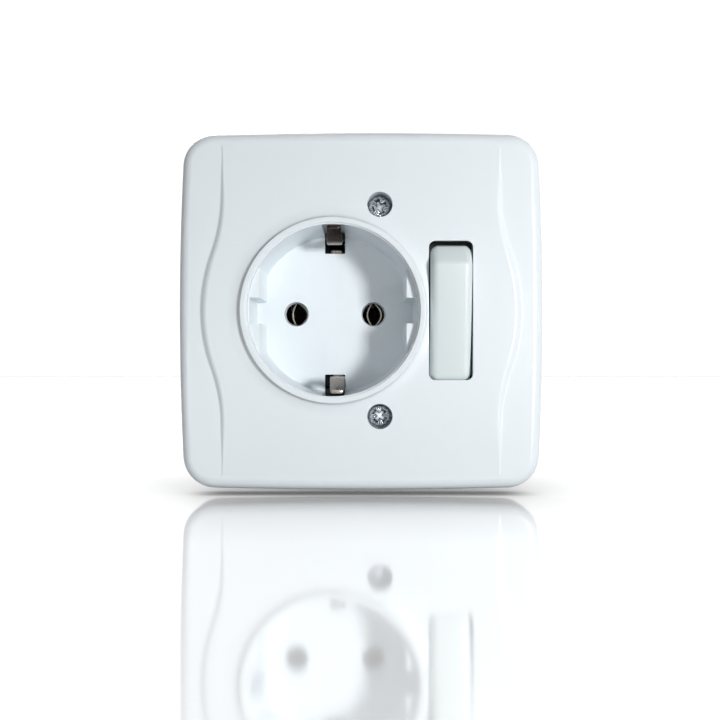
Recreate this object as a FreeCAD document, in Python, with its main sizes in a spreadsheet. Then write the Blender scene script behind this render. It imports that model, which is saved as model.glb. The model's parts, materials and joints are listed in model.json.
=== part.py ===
"""Flush earthed socket with a rocker switch beside it, in one square moulded cover.

The frame: X runs to the right, Z up, and Y into the wall. The origin is the centre of the plate
on the wall's surface. Heights in this file are measured from that surface towards the room, so a
height of 10 lies at Y = -10 and a negative height lies inside the wall box. All sizes are in mm.
"""

import FreeCAD, Part
import math
import os
import re

import Sketcher

VECTOR = FreeCAD.Vector
WHOLE_TURN = 360

# driving sizes: name, value, meaning
SIZES = [
    ("plate_width", 84.0, "plate, across its bowed sides"),
    ("plate_tall", 82.5, "plate, across its bowed top and bottom"),
    ("side_bow", 1.2, "bow of the left and right sides"),
    ("end_bow", 0.6, "bow of the top and bottom"),
    ("corner_round", 7.5, "radius of the plate's corners"),
    ("band_height", 9.0, "front of the plate round its raised field"),
    ("field_rise", 1.0, "rise of the field above the side bands at mid height"),
    ("field_reach", 38.0, "half length of the field, over which its rise dies away"),
    ("edge_bevel", 1.4, "bevel round the front of the plate"),
    ("cover_wall", 2.0, "wall of the cover"),
    ("field_mid", 36.3, "half width of the field at mid height"),
    ("field_end", 31.8, "half width of the field at its ends"),
    ("field_swell", 26.0, "half length of the swelling of the field's edge"),
    ("field_slope", 45.0, "slope of the field's edge, in degrees"),
    ("well_x", -6.4, "place of the well's axis"),
    ("rim_height", 11.6, "front of the ring round the well"),
    ("ring_flat", 20.9, "outer radius of the ring's flat"),
    ("field_dive", 0.05, "how far the field's ends dive below the plate's front"),
    ("field_root", 0.2, "how far the field starts in front of the cover's cavity"),
    ("ring_foot", 21.7, "radius of the ring's side"),
    ("ring_blend", 1.3, "width of the slope at the ring's foot"),
    ("ring_shoulder", 0.7, "height of the rounding at the ring's edge"),
    ("well_radius", 19.6, "radius of the well"),
    ("well_depth", 17.5, "depth of the well"),
    ("well_wall", 1.6, "wall of the well"),
    ("floor_wall", 2.0, "thickness of the well's floor"),
    ("guide_flat", 16.8, "distance of the plug guides from the axis"),
    ("guide_drop", 2.3, "depth of the plug guides below the rim"),
    ("guide_groove", 5.9, "width of the groove in each plug guide"),
    ("groove_back", 19.1, "distance of the groove's back from the axis"),
    ("pin_pitch", 19.0, "distance between the pin holes"),
    ("pin_hole", 3.0, "radius of the pin holes"),
    ("earth_slot_width", 5.0, "width of the slots for the earth clips"),
    ("earth_slot_inner", 14.9, "inner end of those slots, from the axis"),
    ("earth_slot_top", 10.2, "front end of those slots"),
    ("screw_x", 4.3, "place of the cover screws across"),
    ("screw_pitch", 48.4, "distance between the cover screws"),
    ("screw_recess", 2.9, "radius of the recess for a cover screw"),
    ("recess_floor", 5.0, "height of the seat under a cover screw's head"),
    ("boss_wall", 1.4, "wall of the tube round a cover screw"),
    ("switch_x", 20.5, "place of the rocker across"),
    ("opening_width", 10.1, "rocker opening, across"),
    ("rocker_gap", 0.34, "gap past the ends of the rocker as it tilts"),
    ("opening_round", 1.0, "corner radius of the rocker opening"),
    ("opening_lip", 1.2, "thickness of the cover at the rocker opening"),
    ("opening_relief", 1.6, "how much wider the space behind the opening is, above and below"),
    ("rib_width", 1.2, "width of the cover's inner ribs"),
    ("rib_drop", 2.4, "how far those ribs stand down from the face"),
    ("rocker_width", 9.7, "width of the rocker"),
    ("rocker_radius", 20.6, "radius of the rocker's ends about its pivot"),
    ("rocker_face", 16.0, "distance from the pivot to the rocker's face"),
    ("rocker_pivot", -4.7, "height of the rocker's pivot"),
    ("rocker_skirt", 12.0, "distance from the pivot to the edge of the rocker's skirt"),
    ("rocker_wall", 1.4, "wall of the rocker"),
    ("rocker_bevel", 1.2, "bevel along the rocker's long edges"),
    ("rocker_end_bevel", 0.9, "bevel at the ends of the rocker's face"),
    ("rocker_tilt", 8.4, "tilt of the rocker each way, in degrees"),
    ("stem_width", 7.6, "width of the rocker's stem"),
    ("stem_thick", 6.0, "thickness of the rocker's stem"),
    ("stem_foot", 2.4, "how far the stem reaches behind the pivot"),
    ("trunnion", 1.4, "radius of the rocker's pivot pins"),
    ("trunnion_short", 0.2, "how far those pins stay inside the base's walls"),
    ("running_gap", 0.05, "gap all round a pin that turns"),
    ("plunger_radius", 1.7, "radius of the plunger's head"),
    ("plunger_tip", 1.1, "radius of the plunger's tip"),
    ("plunger_inner", 4.5, "how far the plunger starts in front of the pivot"),
    ("plunger_shoulder", 4.0, "how far its head reaches behind the pivot"),
    ("plunger_gap", 0.1, "gap between the plunger's tip and the lever at mid travel"),
    ("bore_end", 12.5, "inner end of the plunger's bore, in front of the pivot"),
    ("slide_gap", 0.06, "gap all round the plunger"),
    ("spring_wire", 0.45, "thickness of the plunger spring's square wire"),
    ("spring_coil", 2.6, "diameter of that spring to the middle of its wire"),
    ("spring_pitch", 4.8, "pitch of that spring"),
    ("spring_room", 0.5, "travel left in front of the spring"),
    ("lever_pivot", 12.0, "distance from the rocker's pivot to the lever's pivot"),
    ("lever_rise", 1.0, "distance from the lever's pivot to its front"),
    ("lever_thick", 0.8, "thickness of the contact lever"),
    ("lever_width", 5.0, "width of the contact lever"),
    ("lever_arm", 10.4, "length of the lever's contact arm"),
    ("lever_tail", 5.5, "length of the lever's other arm"),
    ("lever_ear", 1.6, "how far the lever's ears reach behind its pivot"),
    ("lever_tip_place", 8.8, "distance from the lever's pivot to its contact"),
    ("ridge_gap", 0.05, "gap between the fulcrum's ridge and the lever"),
    ("ridge_top", 0.3, "width of the fulcrum's ridge at its top"),
    ("ridge_foot", 3.2, "width of the ridge at its foot"),
    ("tip_half", 1.5, "half the size of the silver contact tips"),
    ("tip_thick", 0.7, "thickness of those tips"),
    ("contact_gap", 0.06, "gap left between the closed contacts"),
    ("strip_thick", 0.8, "thickness of the switch's brass strips"),
    ("strip_width", 5.0, "width of the switch's brass strips"),
    ("strip_inner", 6.9, "inner end of a switch terminal's plate, from the rocker's axis"),
    ("strip_outer", 12.6, "outer face of a switch strip, from the rocker's axis"),
    ("fulcrum_end", 2.5, "how far the fulcrum's foot passes the lever's pivot"),
    ("terminal_place", 9.9, "distance of the switch terminals from the rocker's axis"),
    ("switch_plate", -12.0, "height of the front of a switch terminal's plate"),
    ("frame_side_room", 7.0, "from the frame to the plate's left and right edges"),
    ("frame_end_room", 6.25, "from the frame to the plate's top and bottom edges"),
    ("frame_round", 6.0, "corner radius of the mounting frame"),
    ("frame_thick", 1.2, "thickness of the mounting frame"),
    ("frame_gap", 0.4, "gap between the frame's opening and what passes it"),
    ("box_pitch", 60.0, "distance between the box screw holes"),
    ("box_hole", 2.1, "radius of the box screw holes"),
    ("tab_thick", 0.9, "thickness of the tabs beside the claws"),
    ("tab_reach", 6.5, "length of those tabs"),
    ("tab_lead", 1.8, "how far those tabs start before the claw screws' axes"),
    ("tab_long", 4.2, "those tabs, up and down"),
    ("side_gap", 0.3, "gap between a claw and the tabs beside it"),
    ("box_radius", 29.3, "radius of everything that goes into the wall box"),
    ("base_front", -8.2, "height of the base's front behind the well"),
    ("base_back", -28.5, "height of the base's back"),
    ("base_tall", 41.6, "base, up and down"),
    ("base_round", 1.5, "bevel round the back of the base"),
    ("base_wall", 1.2, "walls of the base beside the switch"),
    ("base_floor", 2.5, "thickness of the base's back wall"),
    ("switch_front", 3.0, "height of the base's front beside the rocker"),
    ("switch_room", 8.2, "width of the space for the switch"),
    ("switch_room_tall", 26.0, "length of the space for the switch"),
    ("column_width", 5.0, "width of the columns that carry the base on the frame"),
    ("column_left", -16.0, "place of the left columns"),
    ("column_right", 13.5, "place of the right columns"),
    ("column_tall", 4.2, "those columns, up and down"),
    ("column_proud", 2.0, "how far those columns stand out past the base's flats"),
    ("stud_size", 2.4, "studs through the frame, each way"),
    ("stud_head", 4.2, "flattened heads of the studs, each way"),
    ("stud_head_thick", 0.8, "thickness of those heads"),
    ("chamber_width", 8.4, "width of the space for a pin contact"),
    ("chamber_top", 6.0, "upper end of that space"),
    ("chamber_low", -18.0, "lower end of that space"),
    ("contact_bore", 2.45, "inner radius of a pin contact's leaves"),
    ("contact_thick", 0.6, "thickness of a pin contact"),
    ("contact_front", -10.0, "height of the front of a pin contact"),
    ("contact_arc", 52.0, "half angle of each leaf's hollow, in degrees"),
    ("contact_strip", 6.1, "width of a contact's strip"),
    ("contact_top", 3.2, "upper end of a contact's strip"),
    ("contact_low", -17.6, "lower end of a contact's strip"),
    ("contact_terminal", -13.0, "place of the pin contacts' terminals up and down"),
    ("contact_plate_top", -9.6, "upper end of a socket terminal's plate"),
    ("socket_plate", -16.0, "height of the front of a socket terminal's plate"),
    ("clamp_size", 6.0, "terminal clamp plates, each way"),
    ("clamp_thick", 1.0, "thickness of the clamp plates"),
    ("wire_room", 1.4, "space between clamp and terminal plate"),
    ("screw_head", 2.6, "radius of the terminal screws' heads"),
    ("screw_head_thick", 1.8, "thickness of those heads"),
    ("screw_shank", 1.5, "radius of the terminal screws"),
    ("screw_end", 0.6, "how far a terminal screw passes its plate"),
    ("screw_slot", 0.7, "width of the slots in the screw heads"),
    ("screw_slot_deep", 0.9, "depth of those slots"),
    ("wire_hole", 2.6, "square wire holes in the base, each way"),
    ("earth_wire_side", 2.9, "how far the earth wire's hole lies beside the strap's middle"),
    ("earth_width", 3.4, "width of the earth clips"),
    ("earth_skew", 0.65, "how far the lower clip stands to the right of the upper"),
    ("earth_thick", 0.8, "thickness of the earth strap"),
    ("earth_back", -14.0, "height of the back of the earth strap"),
    ("earth_knee", 15.6, "distance of the clips' knees from the axis"),
    ("earth_knee_height", 2.9, "height of the clips' knees"),
    ("earth_foot", 17.4, "distance of the clips' feet from the axis"),
    ("earth_bend_height", -3.5, "height at which the clips leave their feet"),
    ("earth_tip", 17.8, "distance of the clips' tips from the axis"),
    ("earth_tip_height", 9.0, "height of the clips' tips"),
    ("earth_pad", 7.0, "earth strap at its terminal, each way"),
    ("earth_channel", 8.4, "width of the base's channel for the earth strap"),
    ("earth_terminal", 3.6, "place of the earth terminal up and down"),
    ("cover_screw_head", 2.7, "radius of the cover screws' heads"),
    ("cover_screw_head_thick", 1.9, "thickness of those heads"),
    ("cover_screw_shank", 1.65, "radius of the cover screws"),
    ("cover_screw_end", -6.0, "height of the cover screws' ends"),
    ("cross_width", 0.8, "width of the cross recess"),
    ("cross_reach", 3.4, "length of the cross recess"),
    ("cross_deep", 1.1, "depth of the cross recess"),
    ("fit_gap", 0.15, "gap all round a screw in a plain hole"),
    ("thread_gap", 0.05, "gap all round a screw in its thread"),
    ("claw_x", -7.5, "place of the claws across"),
    ("claw_screw_gap", 3.2, "from the base's flats to the claw screws' axes"),
    ("claw_screw_shank", 1.5, "radius of the claw screws"),
    ("claw_screw_end", -15.0, "height of the claw screws' ends"),
    ("claw_width", 7.6, "width of the claws"),
    ("claw_thick", 0.9, "thickness of the claws"),
    ("claw_rise", 2.0, "from the claws' pivots to their outer faces at rest"),
    ("claw_back", -22.0, "height of the claws' back ends"),
    ("claw_tooth", 1.4, "depth of the claws' teeth"),
    ("claw_pivot", -9.5, "height of the claws' pivots"),
    ("pivot_offset", 1.0, "from the claw screws' axes out to the claws' pivots"),
    ("claw_pin", 0.7, "radius of the claws' pivots"),
    ("claw_ear", 1.5, "how far the claws' ears reach round their pivots"),
    ("nut_thick", 2.4, "thickness of the claw nuts"),
    ("nut_inner", 21.6, "inner face of the claw nuts"),
    ("nut_outer", 25.6, "outer face of the claw nuts"),
    ("nut_gap", 0.2, "gap between a claw nut and its claw"),
]

# places worked out from the driving sizes
PLACES = {
    "face_height": "band_height + field_rise",
    "floor_front": "rim_height - well_depth",
    "floor_back": "floor_front - floor_wall",
    "well_outer": "well_radius + well_wall",
    "cavity_top": "band_height - cover_wall",
    "lever_height": "rocker_pivot - lever_pivot",
    "room_back": "base_back + base_floor",
    "tip_back": "lever_thick + tip_thick - lever_rise",
    "closed_reach": "tip_back * cos(rocker_tilt) + (lever_tip_place + tip_half) * sin(rocker_tilt)",
    "fixed_tip_front": "lever_height - closed_reach - contact_gap",
    "strip_front": "fixed_tip_front - tip_thick",
    "switch_floor": "strip_front - strip_thick",
    "earth_front": "earth_back + earth_thick",
    "live_x": "well_x - pin_pitch / 2",
    "neutral_x": "well_x + pin_pitch / 2",
    "passing_radius": "well_outer + frame_gap",
    "room_half": "switch_room / 2",
    "screw_z": "screw_pitch / 2",
    "boss_half": "screw_recess + boss_wall",
    "slot_outer": "well_radius + 1",
    "opening_tall": "2 * (sqrt(rocker_radius ^ 2 - (face_height - opening_lip - rocker_pivot) ^ 2)"
                    " + rocker_gap)",
    "column_outer": "base_tall / 2 + column_proud",
    "column_inner": "column_outer - column_tall",
    "stud_place": "column_outer - column_tall / 2",
    "claw_screw_place": "base_tall / 2 + claw_screw_gap",
    "claw_pivot_place": "claw_screw_place + pivot_offset",
    "claw_outer": "claw_pivot_place + claw_rise",
    "tab_inner": "claw_screw_place - tab_lead",
    "tab_outer": "tab_inner + tab_long",
    "rib_place": "screw_z + screw_recess + rib_width / 2",
}

doc = FreeCAD.newDocument("switched_socket")
sizes = doc.addObject("Spreadsheet::Sheet", "sizes")
for row, (alias, amount, meaning) in enumerate(SIZES, start=1):
    sizes.set("A%d" % row, meaning)
    sizes.set("B%d" % row, str(amount))
    sizes.setAlias("B%d" % row, alias)
doc.recompute()
ALIASES = {alias for alias, amount, meaning in SIZES}


def spell(expression):
    """The expression with each place written out and each size read from the sheet."""
    def swap(match):
        word = match.group()
        if word in PLACES:
            return "(" + spell(PLACES[word]) + ")"
        return "sizes." + word if word in ALIASES else word
    return re.sub(r"[a-z_][a-z_0-9]*", swap, str(expression))


def value(expression):
    """The number that an expression gives now."""
    return float(sizes.evalExpression(spell(expression)))


def bind(item, **paths):
    """Ties properties of an object to expressions; two underscores stand for a dot."""
    for path, expression in paths.items():
        item.setExpression(path.replace("__", "."), spell(expression))
    return item


# sketches and features of a body

def new_body(name):
    body = doc.addObject("PartDesign::Body", name)
    body.Label = name
    return body


def sketch_on(body, name, plane="XZ_Plane", height="0", across="0"):
    """A sketch on one of the body's own planes, moved along the plane's normal by height."""
    sketch = body.newObject("Sketcher::SketchObject", name)
    support = [item for item in body.Origin.OriginFeatures if item.Role == plane][0]
    sketch.AttachmentSupport = [(support, "")]
    sketch.MapMode = "FlatFace"
    return bind(sketch, AttachmentOffset__Base__z=height, AttachmentOffset__Base__x=across)


def pin(sketch, geometry, point, x, z):
    """Holds one point of a sketch at the place that two expressions give."""
    for kind, expression in (("DistanceX", x), ("DistanceY", z)):
        number = sketch.addConstraint(
            Sketcher.Constraint(kind, -1, 1, geometry, point, value(expression)))
        sketch.setExpression("Constraints[%d]" % number, spell(expression))


def circle(sketch, x, z, radius):
    centre = VECTOR(value(x), value(z), 0)
    ring = sketch.addGeometry(Part.Circle(centre, VECTOR(0, 0, 1), value(radius)))
    pin(sketch, ring, 3, x, z)
    number = sketch.addConstraint(Sketcher.Constraint("Radius", ring, value(radius)))
    sketch.setExpression("Constraints[%d]" % number, spell(radius))


def polygon(sketch, corners):
    """Straight lines through corners, each held at its own place."""
    points = [VECTOR(value(x), value(z), 0) for x, z in corners]
    first = sketch.GeometryCount
    for index, point in enumerate(points):
        following = points[(index + 1) % len(points)]
        sketch.addGeometry(Part.LineSegment(point, following))
    for index, (x, z) in enumerate(corners):
        line = first + index
        before = first + (index - 1) % len(points)
        sketch.addConstraint(Sketcher.Constraint("Coincident", before, 2, line, 1))
        pin(sketch, line, 1, x, z)


def rectangle(sketch, left, right, low, high):
    polygon(sketch, [(left, low), (right, low), (right, high), (left, high)])


def square_at(x, side, place, size):
    """A square round a point, which lies on one side of the middle or the other."""
    half = "(%s) / 2" % size
    z = "%d * (%s)" % (side, place)
    return lambda sketch: rectangle(sketch, "%s - %s" % (x, half), "%s + %s" % (x, half),
                                    "%s - %s" % (z, half), "%s + %s" % (z, half))


def pad(body, name, bottom, top, draw, taper=None):
    sketch = sketch_on(body, name + "_sketch", height=bottom)
    draw(sketch)
    feature = body.newObject("PartDesign::Pad", name)
    feature.Profile = sketch
    bind(feature, Length="(%s) - (%s)" % (top, bottom))
    if taper:
        bind(feature, TaperAngle=taper)
    doc.recompute()
    return feature


def pocket(body, name, bottom, top, draw):
    sketch = sketch_on(body, name + "_sketch", height=top)
    draw(sketch)
    before = body.Tip.Shape.Volume
    feature = body.newObject("PartDesign::Pocket", name)
    feature.Profile = sketch
    bind(feature, Length="(%s) - (%s)" % (top, bottom))
    doc.recompute()
    if not feature.Shape.Volume < before:
        raise ValueError(name + " cuts nothing")
    return feature


def turned(body, name, kind, across, draw):
    """A Revolution or Groove about the line through the place across, square to the wall."""
    sketch = sketch_on(body, name + "_sketch", plane="XY_Plane", across=across)
    draw(sketch)
    feature = body.newObject("PartDesign::" + kind, name)
    feature.Profile = sketch
    feature.ReferenceAxis = (sketch, ["V_Axis"])
    feature.Angle = WHOLE_TURN
    doc.recompute()
    return feature


def side_profile(body, name, kind, centre, width, draw):
    """A Pad or Pocket of a side view, evenly both ways from the plane X = centre."""
    sketch = sketch_on(body, name + "_sketch", plane="YZ_Plane", height=centre)
    draw(sketch)
    feature = body.newObject("PartDesign::" + kind, name)
    feature.Profile = sketch
    feature.SideType = "Symmetric"
    bind(feature, Length=width)
    doc.recompute()
    return feature


def round_edges(body, name, radius, wanted, kind="Fillet"):
    """A Fillet or Chamfer on the edges of the last feature that wanted() picks."""
    base = body.Tip
    edges = ["Edge%d" % (number + 1) for number, edge in enumerate(base.Shape.Edges) if wanted(edge)]
    if not edges:
        raise ValueError(name + " finds no edge")
    feature = body.newObject("PartDesign::" + kind, name)
    feature.Base = (base, edges)
    bind(feature, **{"Radius" if kind == "Fillet" else "Size": radius})
    doc.recompute()
    return feature


def join(body, name, other, kind="Fuse"):
    """Fuses another body into this one, or cuts it out."""
    feature = body.newObject("PartDesign::Boolean", name)
    feature.setObjects([other])
    feature.Type = kind
    doc.recompute()
    return feature


# the cover

def bowed_outline(inset):
    """The plate's outline, or one inside it by inset: bowed sides, and corner arcs that touch them."""
    def draw(sketch):
        wide, tall, corner = value("plate_width / 2"), value("plate_tall / 2"), value("corner_round")
        side_bow, end_bow, inwards = value("side_bow"), value("end_bow"), value(inset)
        side_bend = ((tall - end_bow) ** 2 + side_bow ** 2) / (2 * side_bow)
        end_bend = ((wide - side_bow) ** 2 + end_bow ** 2) / (2 * end_bow)
        side_middle, end_middle = wide - side_bend, tall - end_bend
        gap = math.hypot(side_middle, end_middle)
        near, far = side_bend - corner, end_bend - corner
        along = (near ** 2 - far ** 2 + gap ** 2) / (2 * gap)
        aside = math.sqrt(near ** 2 - along ** 2)
        corner_x = side_middle - (side_middle * along + end_middle * aside) / gap
        corner_z = (end_middle * along - side_middle * aside) / gap
        side_angle = math.atan2(corner_z, corner_x - side_middle)
        end_angle = math.atan2(corner_z - end_middle, corner_x)
        middle_angle = (side_angle + end_angle) / 2

        def at(radius, angle, mirror_x, mirror_z):
            return VECTOR(mirror_x * (corner_x + radius * math.cos(angle)),
                          mirror_z * (corner_z + radius * math.sin(angle)), 0)

        corners = []
        for mirror_x, mirror_z in ((1, 1), (-1, 1), (-1, -1), (1, -1)):
            ends = [at(corner - inwards, angle, mirror_x, mirror_z)
                    for angle in (side_angle, middle_angle, end_angle)]
            corners.append(ends if mirror_x * mirror_z > 0 else ends[::-1])
        crowns = [VECTOR(0, tall - inwards, 0), VECTOR(inwards - wide, 0, 0),
                  VECTOR(0, inwards - tall, 0), VECTOR(wide - inwards, 0, 0)]
        for index, (start, middle, end) in enumerate(corners):
            sketch.addGeometry(Part.Arc(start, middle, end))
            sketch.addGeometry(Part.Arc(end, crowns[index], corners[(index + 1) % 4][0]))
    return draw


def field_crown(sketch):
    """What stands in front of the field in side view: a shallow S each way from mid height."""
    half = value("field_reach") / 2
    middle = -value("face_height")
    drop = value("field_rise + field_dive")
    bend = (half ** 2 + (drop / 2) ** 2) / drop
    lift = bend - math.sqrt(bend ** 2 - (half / 2) ** 2)
    inflection = middle + drop / 2
    end = middle + drop
    clear = middle - 1
    sketch.addGeometry(Part.Arc(VECTOR(inflection, -half, 0), VECTOR(middle, 0, 0),
                                VECTOR(inflection, half, 0)))
    for side in (1, -1):
        start = VECTOR(inflection, side * half, 0)
        crown = VECTOR(end - lift, side * half * 1.5, 0)
        low = VECTOR(end, side * half * 2, 0)
        corner = VECTOR(end, side * (half * 2 + 1), 0)
        sketch.addGeometry(Part.Arc(start, crown, low))
        sketch.addGeometry(Part.LineSegment(low, corner))
        sketch.addGeometry(Part.LineSegment(corner, VECTOR(clear, corner.y, 0)))
    edge = 2 * half + 1
    sketch.addGeometry(Part.LineSegment(VECTOR(clear, -edge, 0), VECTOR(clear, edge, 0)))


def field_outline(sketch):
    """The raised field: its edges swell outwards at mid height in two S curves."""
    swell = value("field_swell")
    reach = value("field_reach")
    foot = value("(face_height - cavity_top - field_root - field_rise / 2) * tan(field_slope)")
    end = value("field_end") + foot
    middle = value("field_mid") + foot
    half = swell / 2
    rise = (middle - end) / 2
    bend = (half ** 2 + rise ** 2) / (2 * rise)
    inset = bend - math.sqrt(bend ** 2 - (half / 2) ** 2)
    for side in (1, -1):
        low_end = VECTOR(side * end, -reach, 0)
        low = VECTOR(side * end, -swell, 0)
        low_turn = VECTOR(side * (end + rise), -half, 0)
        high_turn = VECTOR(side * (end + rise), half, 0)
        high = VECTOR(side * end, swell, 0)
        high_end = VECTOR(side * end, reach, 0)
        sketch.addGeometry(Part.LineSegment(low_end, low))
        sketch.addGeometry(Part.Arc(low, VECTOR(side * (end + inset), -1.5 * half, 0), low_turn))
        sketch.addGeometry(Part.Arc(low_turn, VECTOR(side * middle, 0, 0), high_turn))
        sketch.addGeometry(Part.Arc(high_turn, VECTOR(side * (end + inset), 1.5 * half, 0), high))
        sketch.addGeometry(Part.LineSegment(high, high_end))
    for z in (-reach, reach):
        sketch.addGeometry(Part.LineSegment(VECTOR(-end, z, 0), VECTOR(end, z, 0)))


def make_field():
    """The raised field by itself, before it joins the plate."""
    body = new_body("field")
    pad(body, "field_block", "cavity_top + field_root", "face_height", field_outline,
        taper="-field_slope")
    side_profile(body, "field_crown", "Pocket", "0", "plate_width * 2", field_crown)
    return body


def ring_and_cup(sketch):
    """Half section of the well's cup with the raised ring at its mouth."""
    polygon(sketch, [
        ("well_radius - 1.2", "-(floor_back)"),
        ("well_outer", "-(floor_back)"),
        ("well_outer", "-cavity_top"),
        ("ring_foot + ring_blend", "-cavity_top"),
        ("ring_foot + ring_blend", "-(face_height - field_rise / 2)"),
        ("ring_foot", "-(rim_height - ring_shoulder)"),
        ("ring_flat", "-rim_height"),
        ("well_radius - 1.2", "-rim_height"),
    ])


def cup_floor(sketch):
    rectangle(sketch, "0", "well_outer - 0.2", "-(floor_front)", "-(floor_back)")


def well_space(sketch):
    """Half section of the open well."""
    rectangle(sketch, "0", "well_radius", "-(rim_height + 1)", "-(floor_front)")


def guide_block(side):
    """The part of the well behind a chord: one of the two plug guides."""
    def draw(sketch):
        centre = value("well_x")
        radius = value("well_radius + well_wall / 2")
        chord = value("guide_flat")
        half = math.sqrt(radius ** 2 - chord ** 2)
        top = VECTOR(centre + side * chord, half, 0)
        low = VECTOR(centre + side * chord, -half, 0)
        sketch.addGeometry(Part.Arc(top, VECTOR(centre + side * radius, 0, 0), low))
        sketch.addGeometry(Part.LineSegment(low, top))
    return draw


def rounded_box(left, right, low, high, radius):
    """A rectangle with round corners, drawn with lines and arcs."""
    def draw(sketch):
        x0, x1, z0, z1 = [value(item) for item in (left, right, low, high)]
        r = value(radius)
        short = r * (1 - math.sqrt(0.5))
        corners = [(x1, z0, -1, 1), (x1, z1, -1, -1), (x0, z1, 1, -1), (x0, z0, 1, 1)]
        ends = []
        for x, z, inward_x, inward_z in corners:
            along_z = VECTOR(x, z + inward_z * r, 0)
            along_x = VECTOR(x + inward_x * r, z, 0)
            middle = VECTOR(x + inward_x * short, z + inward_z * short, 0)
            pair = (along_x, along_z) if inward_x * inward_z < 0 else (along_z, along_x)
            sketch.addGeometry(Part.Arc(pair[0], middle, pair[1]))
            ends.append(pair)
        for index, pair in enumerate(ends):
            following = ends[(index + 1) % len(ends)]
            sketch.addGeometry(Part.LineSegment(pair[1], following[0]))
    return draw


def make_front_cover():
    body = new_body("front_cover")
    pad(body, "plate", "0", "band_height", bowed_outline("0"))
    round_edges(body, "plate_front_edge", "edge_bevel",
                lambda edge: edge.BoundBox.YMax < -value("band_height - 0.01"), "Chamfer")
    join(body, "raised_field", make_field())
    pocket(body, "cavity", "0", "cavity_top", bowed_outline("cover_wall"))
    turned(body, "ring", "Revolution", "well_x", ring_and_cup)
    turned(body, "cup_floor", "Revolution", "well_x", cup_floor)
    turned(body, "well", "Groove", "well_x", well_space)
    guide_top = "rim_height - guide_drop"
    for side, name in ((-1, "left"), (1, "right")):
        pad(body, name + "_guide", "floor_front - floor_wall / 2", guide_top, guide_block(side))
        near = "well_x + %d * (guide_flat - 1)" % side
        far = "well_x + %d * groove_back" % side
        half = "guide_groove / 2"
        pocket(body, name + "_groove", "floor_front", guide_top,
               lambda sketch: rectangle(sketch, near, far, "-" + half, half))

    def recesses(sketch):
        for side in ("-", ""):
            circle(sketch, "screw_x", side + "screw_z", "screw_recess")

    def shank_holes(sketch):
        for side in ("-", ""):
            circle(sketch, "screw_x", side + "screw_z", "cover_screw_shank + fit_gap")

    for side, name in ((1, "upper"), (-1, "lower")):
        pad(body, name + "_boss", "frame_thick + 0.3", "cavity_top + 0.5",
            square_at("screw_x", side, "screw_z", "2 * boss_half"))
    pocket(body, "screw_recesses", "recess_floor", "face_height + 1", recesses)
    pocket(body, "screw_holes", "0", "recess_floor", shank_holes)

    def pin_holes(sketch):
        for side in (-1, 1):
            circle(sketch, "well_x + %d * pin_pitch / 2" % side, "0", "pin_hole")

    pocket(body, "pin_holes", "floor_back - 1", "floor_front", pin_holes)

    def earth_slots(sketch):
        for side in (-1, 1):
            inner = "%d * earth_slot_inner" % side
            outer = "%d * slot_outer" % side
            rectangle(sketch, "well_x - earth_slot_width / 2", "well_x + earth_slot_width / 2",
                      inner, outer)

    pocket(body, "earth_slots", "floor_back - 1", "earth_slot_top", earth_slots)

    left = "switch_x - opening_width / 2"
    right = "switch_x + opening_width / 2"
    half = "opening_tall / 2"
    pocket(body, "opening", "cavity_top - 1", "rim_height",
           rounded_box(left, right, "-" + half, half, "opening_round"))
    wide = "(opening_tall / 2 + opening_relief)"
    pocket(body, "opening_relief", "cavity_top - 1", "face_height - opening_lip",
           lambda sketch: rectangle(sketch, left, right, "-" + wide, wide))

    def ribs(sketch):
        edge = "(plate_width / 2 - side_bow - cover_wall + 0.3)"
        for side in (-1, 1):
            middle = "%d * rib_place" % side
            rectangle(sketch, "-" + edge, edge, middle + " - rib_width / 2", middle + " + rib_width / 2")

    pad(body, "ribs", "cavity_top - rib_drop", "cavity_top + 0.3", ribs)
    return body


def make_rocker():
    """The switch key, drawn about its pivot and then tilted to its place."""
    body = new_body("rocker")
    side_profile(body, "key_block", "Pad", "0", "rocker_width", key_outline("0", "rocker_skirt"))

    def face_end(edge):
        return abs(edge.BoundBox.Center.y + value("rocker_face")) < 0.01 and \
            edge.BoundBox.ZLength < 0.01

    def long_edge(edge):
        box = edge.BoundBox
        return box.XLength < 0.01 and box.YMax < -value("rocker_face - rocker_end_bevel - 0.1")

    round_edges(body, "face_ends", "rocker_end_bevel", face_end, "Chamfer")
    round_edges(body, "long_edges", "rocker_bevel", long_edge, "Chamfer")
    side_profile(body, "key_hollow", "Pocket", "0", "rocker_width - 2 * rocker_wall",
                 key_outline("rocker_wall", "rocker_skirt - 1"))
    half = "stem_thick / 2"
    pad(body, "stem", "-stem_foot", "rocker_face - rocker_wall / 2",
        lambda sketch: rectangle(sketch, "-stem_width / 2", "stem_width / 2", "-" + half, half))
    side_profile(body, "trunnions", "Pad", "0", "switch_room + 2 * (base_wall - trunnion_short)",
                 lambda sketch: circle(sketch, "0", "0", "trunnion"))
    pocket(body, "plunger_bore", "-stem_foot", "bore_end",
           lambda sketch: circle(sketch, "0", "0", "plunger_radius + slide_gap"))
    return body


def key_outline(inset, skirt):
    """Side view of the rocker: a flat face between sloping ends that clear the opening."""
    def draw(sketch):
        radius = value("rocker_radius - " + inset)
        face = value("rocker_face - " + inset)
        edge = value(skirt)
        half_face = math.sqrt(radius ** 2 - face ** 2)
        half_skirt = math.sqrt(radius ** 2 - edge ** 2)
        for side in (1, -1):
            sketch.addGeometry(Part.LineSegment(VECTOR(-face, side * half_face, 0),
                                                VECTOR(-edge, side * half_skirt, 0)))
        for height, half in ((face, half_face), (edge, half_skirt)):
            sketch.addGeometry(Part.LineSegment(VECTOR(-height, -half, 0), VECTOR(-height, half, 0)))
    return draw


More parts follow.
